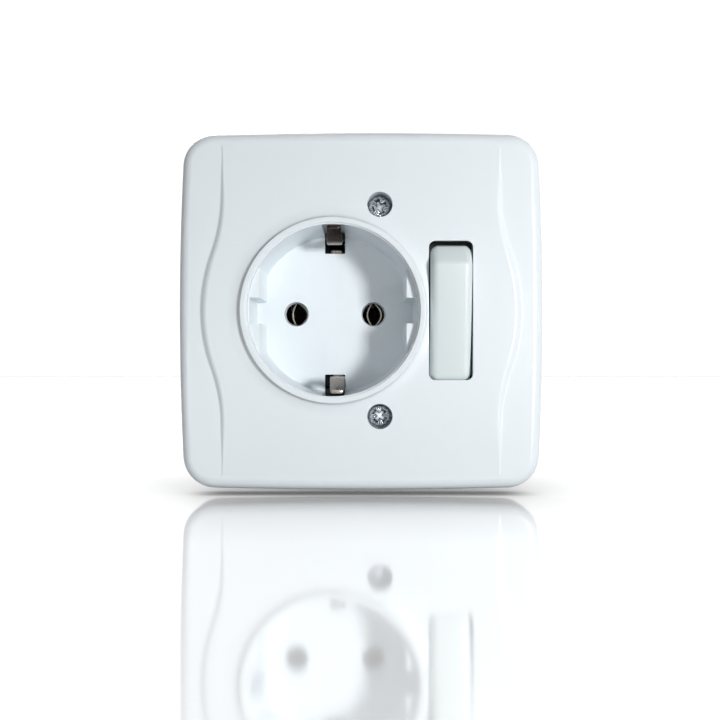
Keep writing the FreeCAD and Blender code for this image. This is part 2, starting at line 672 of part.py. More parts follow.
def set_on_pivot(body, height, tilt):
    """Moves a body that was drawn about its pivot to the switch, tilted about X."""
    body.Placement = FreeCAD.Placement(VECTOR(0, 0, 0), FreeCAD.Rotation(VECTOR(1, 0, 0), value(tilt)))
    bind(body, Placement__Base__x="switch_x", Placement__Base__y="-(%s)" % height,
         Placement__Rotation__Angle=tilt)
    return body


def make_plunger():
    body = new_body("plunger")
    reach = "lever_pivot - lever_rise - plunger_gap"
    turned(body, "plunger_turning", "Revolution", "0", lambda sketch: polygon(sketch, [
        ("0", "-plunger_inner"),
        ("plunger_radius", "-plunger_inner"),
        ("plunger_radius", "plunger_shoulder"),
        ("plunger_tip", "plunger_shoulder + plunger_radius - plunger_tip"),
        ("plunger_tip", reach),
        ("0", reach),
    ]))
    return body


def make_plunger_spring():
    body = new_body("plunger_spring")
    sketch = sketch_on(body, "wire_section", plane="XY_Plane")
    rectangle(sketch, "(spring_coil - spring_wire) / 2", "(spring_coil + spring_wire) / 2",
              "-plunger_inner - spring_wire", "-plunger_inner")
    coil = body.newObject("PartDesign::AdditiveHelix", "coil")
    coil.Profile = sketch
    coil.ReferenceAxis = (sketch, ["V_Axis"])
    coil.Mode = 0
    coil.Reversed = True
    bind(coil, Pitch="spring_pitch",
         Height="bore_end - plunger_inner - spring_wire - spring_room")
    doc.recompute()
    return body


def make_lever():
    body = new_body("contact_lever")
    half = "lever_width / 2"
    pad(body, "lever_strip", "lever_rise - lever_thick", "lever_rise",
        lambda sketch: rectangle(sketch, "-" + half, half, "-lever_arm", "lever_tail"))
    for side, name in ((-1, "left"), (1, "right")):
        near = "%d * (lever_width / 2 - lever_thick)" % side
        far = "%d * lever_width / 2" % side
        pad(body, name + "_ear", "-lever_ear", "lever_rise - lever_thick / 2",
            lambda sketch: rectangle(sketch, near, far, "-lever_ear", "lever_ear"))
    return body


def make_lever_tip():
    body = new_body("lever_contact_tip")
    pad(body, "tip_head", "-(tip_back)", "lever_rise - lever_thick",
        square_at("0", -1, "lever_tip_place", "2 * tip_half"))
    return body


def make_fixed_tip():
    body = new_body("fixed_contact_tip")
    pad(body, "tip_head", "strip_front", "fixed_tip_front",
        square_at("switch_x", -1, "lever_tip_place", "2 * tip_half"))
    return body


def strip_profile(side, foot_end):
    """A brass strip in side view: terminal plate, riser along the wall, and foot."""
    def at(height, place):
        return "-(%s)" % height, "%d * (%s)" % (side, place)
    plate_back = "switch_plate - strip_thick"
    riser_inner = "strip_outer - strip_thick"
    return lambda sketch: polygon(sketch, [
        at("switch_plate", "strip_inner"),
        at("switch_plate", "strip_outer"),
        at("switch_floor", "strip_outer"),
        at("switch_floor", foot_end),
        at("strip_front", foot_end),
        at("strip_front", riser_inner),
        at(plate_back, riser_inner),
        at(plate_back, "strip_inner"),
    ])


def screw_hole(body, x, z, front, back):
    pocket(body, "screw_hole", back, front,
           lambda sketch: circle(sketch, x, z, "screw_shank + thread_gap"))


def make_fixed_contact():
    body = new_body("fixed_contact")
    side_profile(body, "strip", "Pad", "switch_x", "strip_width", strip_profile(-1, "strip_inner"))
    screw_hole(body, "switch_x", "-terminal_place", "switch_plate", "switch_plate - strip_thick")
    return body


def make_fulcrum_terminal():
    body = new_body("fulcrum_terminal")
    side_profile(body, "strip", "Pad", "switch_x", "strip_width", strip_profile(1, "-fulcrum_end"))
    top = "-(lever_height + lever_rise - lever_thick - ridge_gap)"
    foot = "-(strip_front - strip_thick / 2)"
    side_profile(body, "ridge", "Pad", "switch_x", "lever_width - 2 * lever_thick - 2 * fit_gap",
                 lambda sketch: polygon(sketch, [
                     (foot, "-ridge_foot / 2"), (top, "-ridge_top / 2"),
                     (top, "ridge_top / 2"), (foot, "ridge_foot / 2")]))
    screw_hole(body, "switch_x", "terminal_place", "switch_plate", "switch_plate - strip_thick")
    return body


def make_base_housing():
    body = new_body("base_housing")

    def block(sketch):
        radius = value("box_radius")
        half = value("base_tall / 2")
        across = math.sqrt(radius ** 2 - half ** 2)
        for side in (1, -1):
            sketch.addGeometry(Part.Arc(VECTOR(side * across, -half, 0), VECTOR(side * radius, 0, 0),
                                        VECTOR(side * across, half, 0)))
            sketch.addGeometry(Part.LineSegment(VECTOR(-across, side * half, 0),
                                                VECTOR(across, side * half, 0)))

    pad(body, "block", "base_back", "base_front", block)
    round_edges(body, "back_bevel", "base_round",
                lambda edge: edge.BoundBox.YMin > -value("base_back + 0.01"), kind="Chamfer")
    left = "switch_x - room_half - base_wall"
    right = "switch_x + room_half + base_wall"
    half = "(switch_room_tall / 2 + base_wall)"
    pad(body, "switch_walls", "base_front - 1", "switch_front",
        lambda sketch: rectangle(sketch, left, right, "-" + half, half))
    for side in (-1, 1):
        for place in ("left", "right"):
            middle = "column_" + place
            name = "%s_%s" % ("upper" if side > 0 else "lower", place)
            pad(body, name + "_column", "base_front - 1", "0",
                lambda sketch: rectangle(sketch, middle + " - column_width / 2",
                                         middle + " + column_width / 2",
                                         "%d * column_inner" % side, "%d * column_outer" % side))
            for kind, size, low, high in (
                    ("stud", "stud_size", "-stud_size", "frame_thick"),
                    ("head", "stud_head", "frame_thick", "frame_thick + stud_head_thick")):
                pad(body, "%s_%s" % (name, kind), low, high, square_at(middle, side, "stud_place", size))
    pocket(body, "well_clearance", "base_front", "switch_front",
           lambda sketch: circle(sketch, "well_x", "0", "passing_radius"))
    pocket(body, "switch_room", "switch_floor", "switch_front",
           lambda sketch: rectangle(sketch, "switch_x - room_half", "switch_x + room_half",
                                    "-switch_room_tall / 2", "switch_room_tall / 2"))
    for name in ("live", "neutral"):
        middle = name + "_x"
        pocket(body, name + "_chamber", "room_back", "base_front",
               lambda sketch: rectangle(sketch, middle + " - chamber_width / 2",
                                        middle + " + chamber_width / 2",
                                        "chamber_low", "chamber_top"))
    end = "(earth_foot + earth_thick + fit_gap)"
    pocket(body, "earth_channel", "earth_back", "base_front",
           lambda sketch: rectangle(sketch, "well_x - earth_channel / 2", "well_x + earth_channel / 2",
                                    "-" + end, end))
    pocket(body, "earth_screw_room", "earth_back - 2 * screw_end", "earth_back",
           square_at("well_x", 1, "earth_terminal", "2 * (screw_shank + fit_gap)"))
    side_profile(body, "bearings", "Pocket", "switch_x", "switch_room + 4 * base_wall",
                 lambda sketch: circle(sketch, "-rocker_pivot", "0", "trunnion + running_gap"))

    wires = [("live", "live_x", "socket_plate", "-base_tall / 2 - 1", "chamber_low"),
             ("neutral", "neutral_x", "socket_plate", "-base_tall / 2 - 1", "chamber_low"),
             ("earth", "well_x + earth_wire_side", "earth_front", end, "base_tall / 2 + 1"),
             ("switch_in", "switch_x", "switch_plate", "switch_room_tall / 2", "base_tall / 2 + 1"),
             ("switch_out", "switch_x", "switch_plate", "-base_tall / 2 - 1", "-switch_room_tall / 2")]
    for name, x, plate, low, high in wires:
        wire_passage(body, name + "_wire", x, "%s + wire_room / 2" % plate, low, high)
    return body


def wire_passage(body, name, x, height, low, high):
    """A square hole up and down through the base, from low to high."""
    sketch = sketch_on(body, name + "_sketch", plane="XY_Plane", height=high)
    square_at(x, -1, height, "wire_hole")(sketch)
    feature = body.newObject("PartDesign::Pocket", name)
    feature.Profile = sketch
    bind(feature, Length="(%s) - (%s)" % (high, low))
    doc.recompute()
    return feature


def make_mounting_frame():
    body = new_body("mounting_frame")
    wide = "(plate_width / 2 - frame_side_room)"
    tall = "(plate_tall / 2 - frame_end_room)"
    pad(body, "sheet", "0", "frame_thick",
        rounded_box("-" + wide, wide, "-" + tall, tall, "frame_round"))

    def pairs(x, place, radius):
        def draw(sketch):
            for side in (-1, 1):
                circle(sketch, x, "%d * (%s)" % (side, place), radius)
        return draw

    for side in (-1, 1):
        for place in (-1, 1):
            near = "claw_x + %d * (claw_width / 2 + side_gap)" % place
            far = "claw_x + %d * (claw_width / 2 + side_gap + tab_thick)" % place
            name = "%s_%s_tab" % ("upper" if side > 0 else "lower", "right" if place > 0 else "left")
            pad(body, name, "-tab_reach", "frame_thick / 2",
                lambda sketch: rectangle(sketch, near, far, "%d * tab_inner" % side,
                                         "%d * tab_outer" % side))
    pocket(body, "well_opening", "0", "frame_thick",
           lambda sketch: circle(sketch, "well_x", "0", "passing_radius"))
    left = "switch_x - room_half - base_wall - frame_gap"
    right = "switch_x + room_half + base_wall + frame_gap"
    tall = "(switch_room_tall / 2 + base_wall + frame_gap)"
    pocket(body, "switch_opening", "0", "frame_thick",
           lambda sketch: rectangle(sketch, left, right, "-" + tall, tall))
    pocket(body, "cover_screw_holes", "0", "frame_thick",
           pairs("screw_x", "screw_z", "cover_screw_shank + thread_gap"))
    pocket(body, "box_screw_holes", "0", "frame_thick", pairs("0", "box_pitch / 2", "box_hole"))
    for side in (-1, 1):
        pocket(body, ("upper" if side > 0 else "lower") + "_claw_slot", "0", "frame_thick",
               square_at("claw_x", side, "claw_screw_place", "2 * (claw_screw_shank + fit_gap)"))
        for place in ("left", "right"):
            name = "%s_%s_stud_hole" % ("upper" if side > 0 else "lower", place)
            pocket(body, name, "0", "frame_thick",
                   square_at("column_" + place, side, "stud_place", "stud_size + 2 * thread_gap"))
    return body


def make_pin_contact(name, x):
    body = new_body(name)
    plate_back = "socket_plate - contact_thick"
    side_profile(body, "strip", "Pad", x, "contact_strip", lambda sketch: polygon(sketch, [
        ("-(room_back)", "contact_top"),
        ("-(room_back)", "contact_low"),
        ("-(socket_plate)", "contact_low"),
        ("-(socket_plate)", "contact_plate_top"),
        ("-(%s)" % plate_back, "contact_plate_top"),
        ("-(%s)" % plate_back, "contact_low + contact_thick"),
        ("-(room_back + contact_thick)", "contact_low + contact_thick"),
        ("-(room_back + contact_thick)", "contact_top"),
    ]))
    for side, hand in ((-1, "left"), (1, "right")):
        pad(body, hand + "_leaf", "room_back", "contact_front", leaf_section(x, side))
    screw_hole(body, x, "contact_terminal", "socket_plate", plate_back)
    return body


def leaf_section(x, side):
    """Hollow section of one leaf, open towards the pin."""
    def draw(sketch):
        middle = value(x)
        inner = value("contact_bore")
        outer = value("contact_bore + contact_thick")
        half = math.radians(value("contact_arc"))
        ends = []
        for radius in (inner, outer):
            high = VECTOR(middle + side * radius * math.cos(half), radius * math.sin(half), 0)
            low = VECTOR(high.x, -high.y, 0)
            sketch.addGeometry(Part.Arc(high, VECTOR(middle + side * radius, 0, 0), low))
            ends.append((high, low))
        for near, far in zip(*ends):
            sketch.addGeometry(Part.LineSegment(near, far))
    return draw


def make_earth_strap():
    """One folded strap: behind the well's floor, and up through it into the two side clips."""
    body = new_body("earth_strap")
    for side, x, name in ((1, "well_x", "upper"), (-1, "well_x + earth_skew", "lower")):
        def at(height, place):
            return "-(%s)" % height, "%d * (%s)" % (side, place)
        outline = [
            at("earth_back", "0"),
            at("earth_back", "earth_foot + earth_thick"),
            at("earth_bend_height", "earth_foot + earth_thick"),
            at("earth_knee_height", "earth_knee + earth_thick * 1.1"),
            at("earth_tip_height", "earth_tip + earth_thick"),
            at("earth_tip_height", "earth_tip"),
            at("earth_knee_height", "earth_knee"),
            at("earth_bend_height", "earth_foot"),
            at("earth_front", "earth_foot"),
            at("earth_front", "0"),
        ]
        side_profile(body, name + "_clip", "Pad", x, "earth_width",
                     lambda sketch: polygon(sketch, outline))
    half = "earth_pad / 2"
    pad(body, "terminal_pad", "earth_back", "earth_front",
        lambda sketch: rectangle(sketch, "well_x - " + half, "well_x + " + half,
                                 "earth_terminal - " + half, "earth_terminal + " + half))
    screw_hole(body, "well_x", "earth_terminal", "earth_front", "earth_back")
    return body


def hexagon_at(x, z, reach):
    """A hexagon round a point, with reach from its middle to a corner."""
    corners = []
    for step in range(6):
        along = math.cos(math.radians(60 * step))
        aside = math.sin(math.radians(60 * step))
        corners.append(("%s + %.6f * %s" % (x, along, reach), "%s + %.6f * %s" % (z, aside, reach)))
    return lambda sketch: polygon(sketch, corners)


def make_terminal(name, x, z, plate, plate_thick):
    """A terminal's clamp plate and its slotted screw, in front of a terminal plate."""
    clamp_back = "%s + wire_room" % plate
    clamp_front = "%s + wire_room + clamp_thick" % plate
    top = clamp_front + " + screw_head_thick"
    clamp = new_body(name + "_clamp")
    half = "clamp_size / 2"
    pad(clamp, "clamp_plate", clamp_back, clamp_front,
        lambda sketch: rectangle(sketch, "%s - %s" % (x, half), "%s + %s" % (x, half),
                                 "%s - %s" % (z, half), "%s + %s" % (z, half)))
    reach = "(screw_shank + fit_gap)"
    pocket(clamp, "clamp_slot", clamp_back, clamp_front,
           lambda sketch: rectangle(sketch, "%s - %s" % (x, reach), "%s + %s" % (x, reach),
                                    "%s - %s" % (z, reach), "%s + clamp_size" % z))
    screw = new_body(name + "_screw")
    pad(screw, "shank", "%s - %s - screw_end" % (plate, plate_thick), clamp_front,
        lambda sketch: circle(sketch, x, z, "screw_shank"))
    pad(screw, "head", clamp_front, top, hexagon_at(x, z, "screw_head"))
    pocket(screw, "slot", top + " - screw_slot_deep", top,
           lambda sketch: rectangle(sketch, "%s - screw_slot / 2" % x, "%s + screw_slot / 2" % x,
                                    "%s - screw_head - 1" % z, "%s + screw_head + 1" % z))
    return [clamp, screw]


def make_headed_screw(name, x, z, seat, end, shank, arms):
    """A round headed screw; arms are the width and the height of each cut in its head."""
    body = new_body(name)
    top = seat + " + cover_screw_head_thick"
    pad(body, "shank", end, seat, lambda sketch: circle(sketch, x, z, shank))
    pad(body, "head", seat, top, lambda sketch: circle(sketch, x, z, "cover_screw_head"))
    for index, (wide, tall) in enumerate(arms):
        pocket(body, "cut_%d" % index, top + " - cross_deep", top,
               lambda sketch: rectangle(sketch, "%s - %s / 2" % (x, wide), "%s + %s / 2" % (x, wide),
                                        "%s - %s / 2" % (z, tall), "%s + %s / 2" % (z, tall)))
    return body


def make_claw(name, side):
    """A spreading claw: a toothed leg with two ears round the pivots of its nut."""
    body = new_body(name)
    half = "claw_width / 2"
    left = "claw_x - " + half
    right = "claw_x + " + half
    inner = "%d * (claw_outer - claw_thick)" % side
    outer = "%d * claw_outer" % side
    front = "claw_pivot + claw_ear"
    pad(body, "leg", "claw_back", front, lambda sketch: rectangle(sketch, left, right, inner, outer))
    for hand, place in (("left", -1), ("right", 1)):
        near = "claw_x + %d * (claw_width / 2 - claw_thick)" % place
        far = "claw_x + %d * claw_width / 2" % place
        pad(body, hand + "_ear", "claw_pivot - claw_ear", front,
            lambda sketch: rectangle(sketch, near, far, "%d * (claw_pivot_place - claw_ear)" % side,
                                     outer))
    side_profile(body, "pivot_holes", "Pocket", "claw_x", "claw_width * 2",
                 lambda sketch: circle(sketch, "-claw_pivot", "%d * claw_pivot_place" % side,
                                       "claw_pin + running_gap"))
    sketch = sketch_on(body, "teeth_sketch", plane="XY_Plane", height="%d * claw_outer + 1" % side)
    for step in (-1, 0, 1):
        middle = "claw_x + %d * claw_width / 3" % step
        polygon(sketch, [(middle + " - claw_width / 7", "-claw_back + 0.2"),
                         (middle + " + claw_width / 7", "-claw_back + 0.2"),
                         (middle, "-claw_back - claw_tooth")])
    feature = body.newObject("PartDesign::Pocket", "teeth")
    feature.Profile = sketch
    bind(feature, Length="claw_thick + 2")
    doc.recompute()
    return body


def make_claw_nut(name, side):
    body = new_body(name)
    half = "(claw_width / 2 - claw_thick - nut_gap)"
    low = "claw_pivot - nut_thick / 2"
    high = "claw_pivot + nut_thick / 2"
    pad(body, "nut_block", low, high,
        lambda sketch: rectangle(sketch, "claw_x - " + half, "claw_x + " + half,
                                 "%d * nut_inner" % side, "%d * nut_outer" % side))
    side_profile(body, "pivots", "Pad", "claw_x", "claw_width",
                 lambda sketch: circle(sketch, "-claw_pivot", "%d * claw_pivot_place" % side,
                                       "claw_pin"))
    pocket(body, "thread", low, high,
           lambda sketch: circle(sketch, "claw_x", "%d * claw_screw_place" % side,
                                 "claw_screw_shank + thread_gap"))
    return body


NODES = [make_front_cover(), make_base_housing(), make_mounting_frame()]
for side, name in ((1, "upper"), (-1, "lower")):
    cross = [("cross_width", "cross_reach"), ("cross_reach", "cross_width")]
    slot = [("cross_width", "3 * cover_screw_head")]
    NODES.append(make_headed_screw("cover_screw_" + name, "screw_x", "%d * screw_z" % side,
                                   "recess_floor", "cover_screw_end", "cover_screw_shank", cross))
    NODES.append(make_headed_screw("claw_screw_" + name, "claw_x", "%d * claw_screw_place" % side,
                                   "frame_thick", "claw_screw_end", "claw_screw_shank", slot))
    NODES.append(make_claw("claw_" + name, side))
    NODES.append(make_claw_nut("claw_nut_" + name, side))
NODES.append(make_pin_contact("live_contact", "live_x"))
NODES.append(make_pin_contact("neutral_contact", "neutral_x"))
NODES.append(make_earth_strap())
for name, x, z, plate, thick in (
        ("live", "live_x", "contact_terminal", "socket_plate", "contact_thick"),
        ("neutral", "neutral_x", "contact_terminal", "socket_plate", "contact_thick"),
        ("earth", "well_x", "earth_terminal", "earth_front", "earth_thick"),
        ("switch_in", "switch_x", "terminal_place", "switch_plate", "strip_thick"),
        ("switch_out", "switch_x", "-terminal_place", "switch_plate", "strip_thick")):
    NODES.extend(make_terminal(name, x, z, plate, thick))
NODES.extend([make_fixed_contact(), make_fixed_tip(), make_fulcrum_terminal()])
for body in (make_lever(), make_lever_tip()):
    NODES.append(set_on_pivot(body, "lever_height", "-rocker_tilt"))
for body in (make_rocker(), make_plunger(), make_plunger_spring()):
    NODES.append(set_on_pivot(body, "rocker_pivot", "rocker_tilt"))

os.makedirs("parts", exist_ok=True)
doc.recompute()
for item in doc.Objects:
    if "Invalid" in item.State or "Error" in item.State:
        raise ValueError("failed: " + item.Name)
for node in NODES:
    if node.Shape.isNull() or not node.Shape.isValid():
        raise ValueError("bad shape: " + node.Label)
    node.Shape.exportStep("parts/%s.step" % node.Label)
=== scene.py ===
import json
import math

import bmesh
import bpy
from mathutils import Matrix, Vector
from mathutils.geometry import delaunay_2d_cdt


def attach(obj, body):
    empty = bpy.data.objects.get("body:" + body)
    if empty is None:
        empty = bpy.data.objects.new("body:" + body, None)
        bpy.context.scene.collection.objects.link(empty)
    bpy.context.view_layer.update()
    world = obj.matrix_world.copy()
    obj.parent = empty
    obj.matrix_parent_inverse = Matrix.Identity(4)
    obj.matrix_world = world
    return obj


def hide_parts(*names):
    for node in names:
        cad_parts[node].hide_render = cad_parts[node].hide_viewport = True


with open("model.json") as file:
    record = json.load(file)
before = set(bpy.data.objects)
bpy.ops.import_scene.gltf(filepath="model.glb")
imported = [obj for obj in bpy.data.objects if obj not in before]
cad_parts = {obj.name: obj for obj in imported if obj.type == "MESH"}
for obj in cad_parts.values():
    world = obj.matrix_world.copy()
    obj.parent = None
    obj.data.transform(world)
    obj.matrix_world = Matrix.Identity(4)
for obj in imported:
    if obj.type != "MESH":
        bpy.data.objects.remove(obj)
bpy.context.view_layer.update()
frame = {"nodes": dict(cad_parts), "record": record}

# Sizes are in millimetres and turned into metres when a mesh is made. A height is measured from
# the wall towards the room, so it lies at minus Y.
MM = 0.001

PLATE_HALF_WIDE = 42.0
PLATE_HALF_TALL = 41.25
SIDE_BOW = 1.2
END_BOW = 0.6
CORNER_ROUND = 7.5
BAND_HEIGHT = 9.0
EDGE_ROUND = 2.6
FIELD_RISE = 1.0
FIELD_REACH = 38.0
FIELD_MID = 36.3
FIELD_END = 31.8
FIELD_SWELL = 26.0
CREST_BLEND = 0.7
FOOT_BLEND = 0.3
WALL = 2.0
CAVITY_TOP = BAND_HEIGHT - WALL

WELL_X = -6.4
RIM_HEIGHT = 11.6
RING_FLAT = 20.9
RING_SIDE = 21.75
RING_END = 24.3
RING_SHOULDER = 0.45
SHOULDER_SHARE = 0.42
FOOT_SHARE = 0.24
JOIN_RADIUS = 20.6
MOUTH_RADIUS = 19.8
LIP_STEP = 0.25
LIP_DEPTH = 0.5
LIP_ROUND = 0.22
WELL_RADIUS = 19.3
WELL_OUTER = 20.9
FLOOR_HEIGHT = -5.9
FLOOR_BACK = -7.9
FLOOR_ROUND = 0.5
GUIDE_FLAT = 16.8
GUIDE_TOP = 9.3
GROOVE_WIDE = 5.9
GROOVE_BACK = 19.1
GUIDE_ROOT = 0.6
PIN_OFFSET = 9.5
PIN_HOLE = 3.0
PIN_THROAT = 2.7
SLOT_WIDE = 5.0
SLOT_INNER = 14.9
SLOT_OUTER = 20.3
SLOT_TOP = 10.2

SCREW_X = 4.3
SCREW_Z = 24.2
SCREW_RECESS = 2.9
SEAT_HEIGHT = 5.0
BOSS_RADIUS = 4.3
SHANK_HOLE = 1.8
BOSS_FOOT = 1.5

SWITCH_X = 20.5
OPENING_HALF_WIDE = 5.05
OPENING_HALF_TALL = 15.9
OPENING_ROUND = 1.5
OPENING_LIP = 1.2
OPENING_RELIEF = 1.6
RELIEF_ROUND = 0.3

ROUND_STEPS = 160
SHARP = 35


# shaping helpers

def place(x, height, z):
    return Vector((x, -height, z)) * MM


def s_curve(t):
    """0 at 0 and 1 at 1 along two arcs that meet half way."""
    t = min(max(t, 0.0), 1.0)
    return 2 * t * t if t < 0.5 else 1 - 2 * (1 - t) ** 2


def soft_max(a, b, blend):
    near = max(blend - abs(a - b), 0.0)
    return max(a, b) + near * near / (4 * blend)


def soft_min(a, b, blend):
    return -soft_max(-a, -b, blend)


class Patchwork:
    """Vertices, faces and a normal for each corner of each face, gathered from many patches."""

    def __init__(self):
        self.points = []
        self.faces = []
        self.normals = []

    def add(self, points, faces, normals=None):
        """Adds a patch; normals are one for each point, or left out for flat faces."""
        first = len(self.points)
        self.points.extend(points)
        for face in faces:
            self.faces.append([first + corner for corner in face])
            if normals:
                self.normals.extend(normals[corner] for corner in face)
            else:
                flat = face_normal([points[corner] for corner in face])
                self.normals.extend(flat for corner in face)

    def add_mesh(self, mesh, wanted=None):
        """Adds a finished mesh with the normals that it shows."""
        first = len(self.points)
        self.points.extend(vertex.co.copy() for vertex in mesh.vertices)
        shown = [normal.vector.copy() for normal in mesh.corner_normals]
        for polygon in mesh.polygons:
            if wanted and not wanted(polygon.center / MM):
                continue
            self.faces.append([first + corner for corner in polygon.vertices])
            self.normals.extend(shown[loop] for loop in polygon.loop_indices)

    def finish(self, name):
        used = sorted({corner for face in self.faces for corner in face})
        order = {old: new for new, old in enumerate(used)}
        mesh = bpy.data.meshes.new(name)
        mesh.from_pydata([self.points[old] for old in used], [],
                         [[order[corner] for corner in face] for face in self.faces])
        mesh.polygons.foreach_set("use_smooth", [True] * len(mesh.polygons))
        mesh.normals_split_custom_set(self.normals)
        piece = bpy.data.objects.new(name, mesh)
        bpy.context.scene.collection.objects.link(piece)
        return piece


def face_normal(corners):
    normal = Vector((0, 0, 0))
    for a, b in zip(corners, corners[1:] + corners[:1]):
        normal += a.cross(b)
    return normal.normalized()


def piece_from(name, shape, sharp=SHARP):
    """Turns a bmesh into an object that is smooth except at edges sharper than so many degrees."""
    bmesh.ops.recalc_face_normals(shape, faces=shape.faces)
    mesh = bpy.data.meshes.new(name)
    shape.to_mesh(mesh)
    shape.free()
    smooth_by_angle(mesh, sharp)
    piece = bpy.data.objects.new(name, mesh)
    bpy.context.scene.collection.objects.link(piece)
    return piece


def smooth_by_angle(mesh, sharp):
    mesh.polygons.foreach_set("use_smooth", [True] * len(mesh.polygons))
    mesh.set_sharp_from_angle(angle=math.radians(sharp))


def settle(piece):
    """Writes an object's modifiers into its mesh."""
    bpy.context.view_layer.update()
    graph = bpy.context.evaluated_depsgraph_get()
    mesh = bpy.data.meshes.new_from_object(piece.evaluated_get(graph))
    piece.modifiers.clear()
    before = piece.data
    piece.data = mesh
    bpy.data.meshes.remove(before)
    smooth_by_angle(mesh, SHARP)
    return piece


def combine(piece, tool, operation="DIFFERENCE"):
    """Cuts the tool out of the piece, or joins it to it, and takes the tool away."""
    step = piece.modifiers.new(operation.lower(), "BOOLEAN")
    step.object = tool
    step.operation = operation
    step.solver = "EXACT"
    settle(piece)
    bpy.data.objects.remove(tool)
    return piece


def circle_points(centre_x, centre_z, radius, steps=ROUND_STEPS):
    turn = 2 * math.pi / steps
    return [(centre_x + radius * math.cos(turn * k), centre_z + radius * math.sin(turn * k))
            for k in range(steps)]


def rounded_rectangle(centre_x, centre_z, half_wide, half_tall, radius, steps=8):
    points = []
    for corner, (sx, sz) in enumerate(((1, 1), (-1, 1), (-1, -1), (1, -1))):
        for k in range(steps + 1):
            angle = math.pi / 2 * (corner + k / steps)
            points.append((centre_x + sx * (half_wide - radius) + radius * math.cos(angle),
                           centre_z + sz * (half_tall - radius) + radius * math.sin(angle)))
    return points


def prism(name, flat_view, low, high):
    """A straight solid between two heights over an outline of (x, z) points."""
    shape = bmesh.new()
    ends = []
    for height in (low, high):
        ends.append([shape.verts.new(place(x, height, z)) for x, z in flat_view])
        shape.faces.new(ends[-1])
    count = len(flat_view)
    for k in range(count):
        shape.faces.new((ends[0][k], ends[0][(k + 1) % count], ends[1][(k + 1) % count], ends[1][k]))
    return piece_from(name, shape)


def turned(name, profile, centre_x, steps=ROUND_STEPS, sharp=SHARP):
    """A solid turned from (radius, height) points about a level line square to the wall."""
    shape = bmesh.new()
    rings = []
    for radius, height in profile:
        if radius < 1e-6:
            rings.append([shape.verts.new(place(centre_x, height, 0))])
        else:
            ring = circle_points(centre_x, 0, radius, steps)
            rings.append([shape.verts.new(place(x, height, z)) for x, z in ring])
    for near, far in zip(rings, rings[1:] + rings[:1]):
        for k in range(steps):
            following = (k + 1) % steps
            corners = [near[k % len(near)], near[following % len(near)],
                       far[following % len(far)], far[k % len(far)]]
            corners = list(dict.fromkeys(corners))
            if len(corners) > 2:
                shape.faces.new(corners)
    return piece_from(name, shape, sharp)


# the plate's outline and the height of its front

SIDE_CHORD = PLATE_HALF_TALL - END_BOW
END_CHORD = PLATE_HALF_WIDE - SIDE_BOW
SIDE_RADIUS = (SIDE_CHORD ** 2 + SIDE_BOW ** 2) / (2 * SIDE_BOW)
END_RADIUS = (END_CHORD ** 2 + END_BOW ** 2) / (2 * END_BOW)
SIDE_CENTRE = PLATE_HALF_WIDE - SIDE_RADIUS
END_CENTRE = PLATE_HALF_TALL - END_RADIUS


def corner_centre():
    """Centre of the rounding that touches the right and the top side of the plate."""
    a = SIDE_RADIUS - CORNER_ROUND
    b = END_RADIUS - CORNER_ROUND
    across = Vector((-SIDE_CENTRE, END_CENTRE))
    gap = across.length
    along = (a * a - b * b + gap * gap) / (2 * gap)
    aside = math.sqrt(a * a - along * along)
    unit = across / gap
    start = Vector((SIDE_CENTRE, 0))
    options = [start + unit * along + Vector((-unit.y, unit.x)) * aside * side for side in (1, -1)]
    return max(options, key=lambda point: point.x + point.y)


CORNER = corner_centre()
SIDE_ANGLE = math.atan2(CORNER.y, CORNER.x - SIDE_CENTRE)
END_ANGLE = math.atan2(CORNER.y - END_CENTRE, CORNER.x)


def outline(inset, side_steps=44, corner_steps=14):
    """The plate's outline moved inwards: (x, z, outward direction) points, anticlockwise."""
    quarter = []
    for k in range(side_steps // 2):
        angle = SIDE_ANGLE * k / (side_steps // 2)
        quarter.append((SIDE_CENTRE, 0.0, SIDE_RADIUS, angle))
    for k in range(corner_steps):
        angle = SIDE_ANGLE + (END_ANGLE - SIDE_ANGLE) * k / corner_steps
        quarter.append((CORNER.x, CORNER.y, CORNER_ROUND, angle))
    for k in range(side_steps // 2):
        angle = END_ANGLE + (math.pi / 2 - END_ANGLE) * k / (side_steps // 2)
        quarter.append((0.0, END_CENTRE, END_RADIUS, angle))
    first = [(cx + (radius - inset) * math.cos(angle), cz + (radius - inset) * math.sin(angle),
              math.cos(angle), math.sin(angle)) for cx, cz, radius, angle in quarter]
    top = (0.0, END_CENTRE + END_RADIUS - inset, 0.0, 1.0)
    right = first[0]
    second = [top] + [(-x, z, -nx, nz) for x, z, nx, nz in reversed(first[1:])]
    upper = first + second
    left = (-right[0], 0.0, -1.0, 0.0)
    lower = [left] + [(x, -z, nx, -nz) for x, z, nx, nz in reversed(upper[1:])]
    return upper + lower


def edge_distance(x, z):
    """How far a point lies inside the plate's outline, and the direction straight outwards."""
    mirrored = Vector((abs(x), abs(z)))
    from_side = mirrored - Vector((SIDE_CENTRE, 0))
    from_end = mirrored - Vector((0, END_CENTRE))
    from_corner = mirrored - CORNER
    angle = math.atan2(from_corner.y, from_corner.x)
    if SIDE_ANGLE < angle < END_ANGLE:
        distance, way = CORNER_ROUND - from_corner.length, from_corner
    elif SIDE_RADIUS - from_side.length < END_RADIUS - from_end.length:
        distance, way = SIDE_RADIUS - from_side.length, from_side
    else:
        distance, way = END_RADIUS - from_end.length, from_end
    way = way.normalized()
    return distance, math.copysign(way.x, x), math.copysign(way.y, z)


def field_edge(z):
    return FIELD_END + (FIELD_MID - FIELD_END) * (1 - s_curve(abs(z) / FIELD_SWELL))


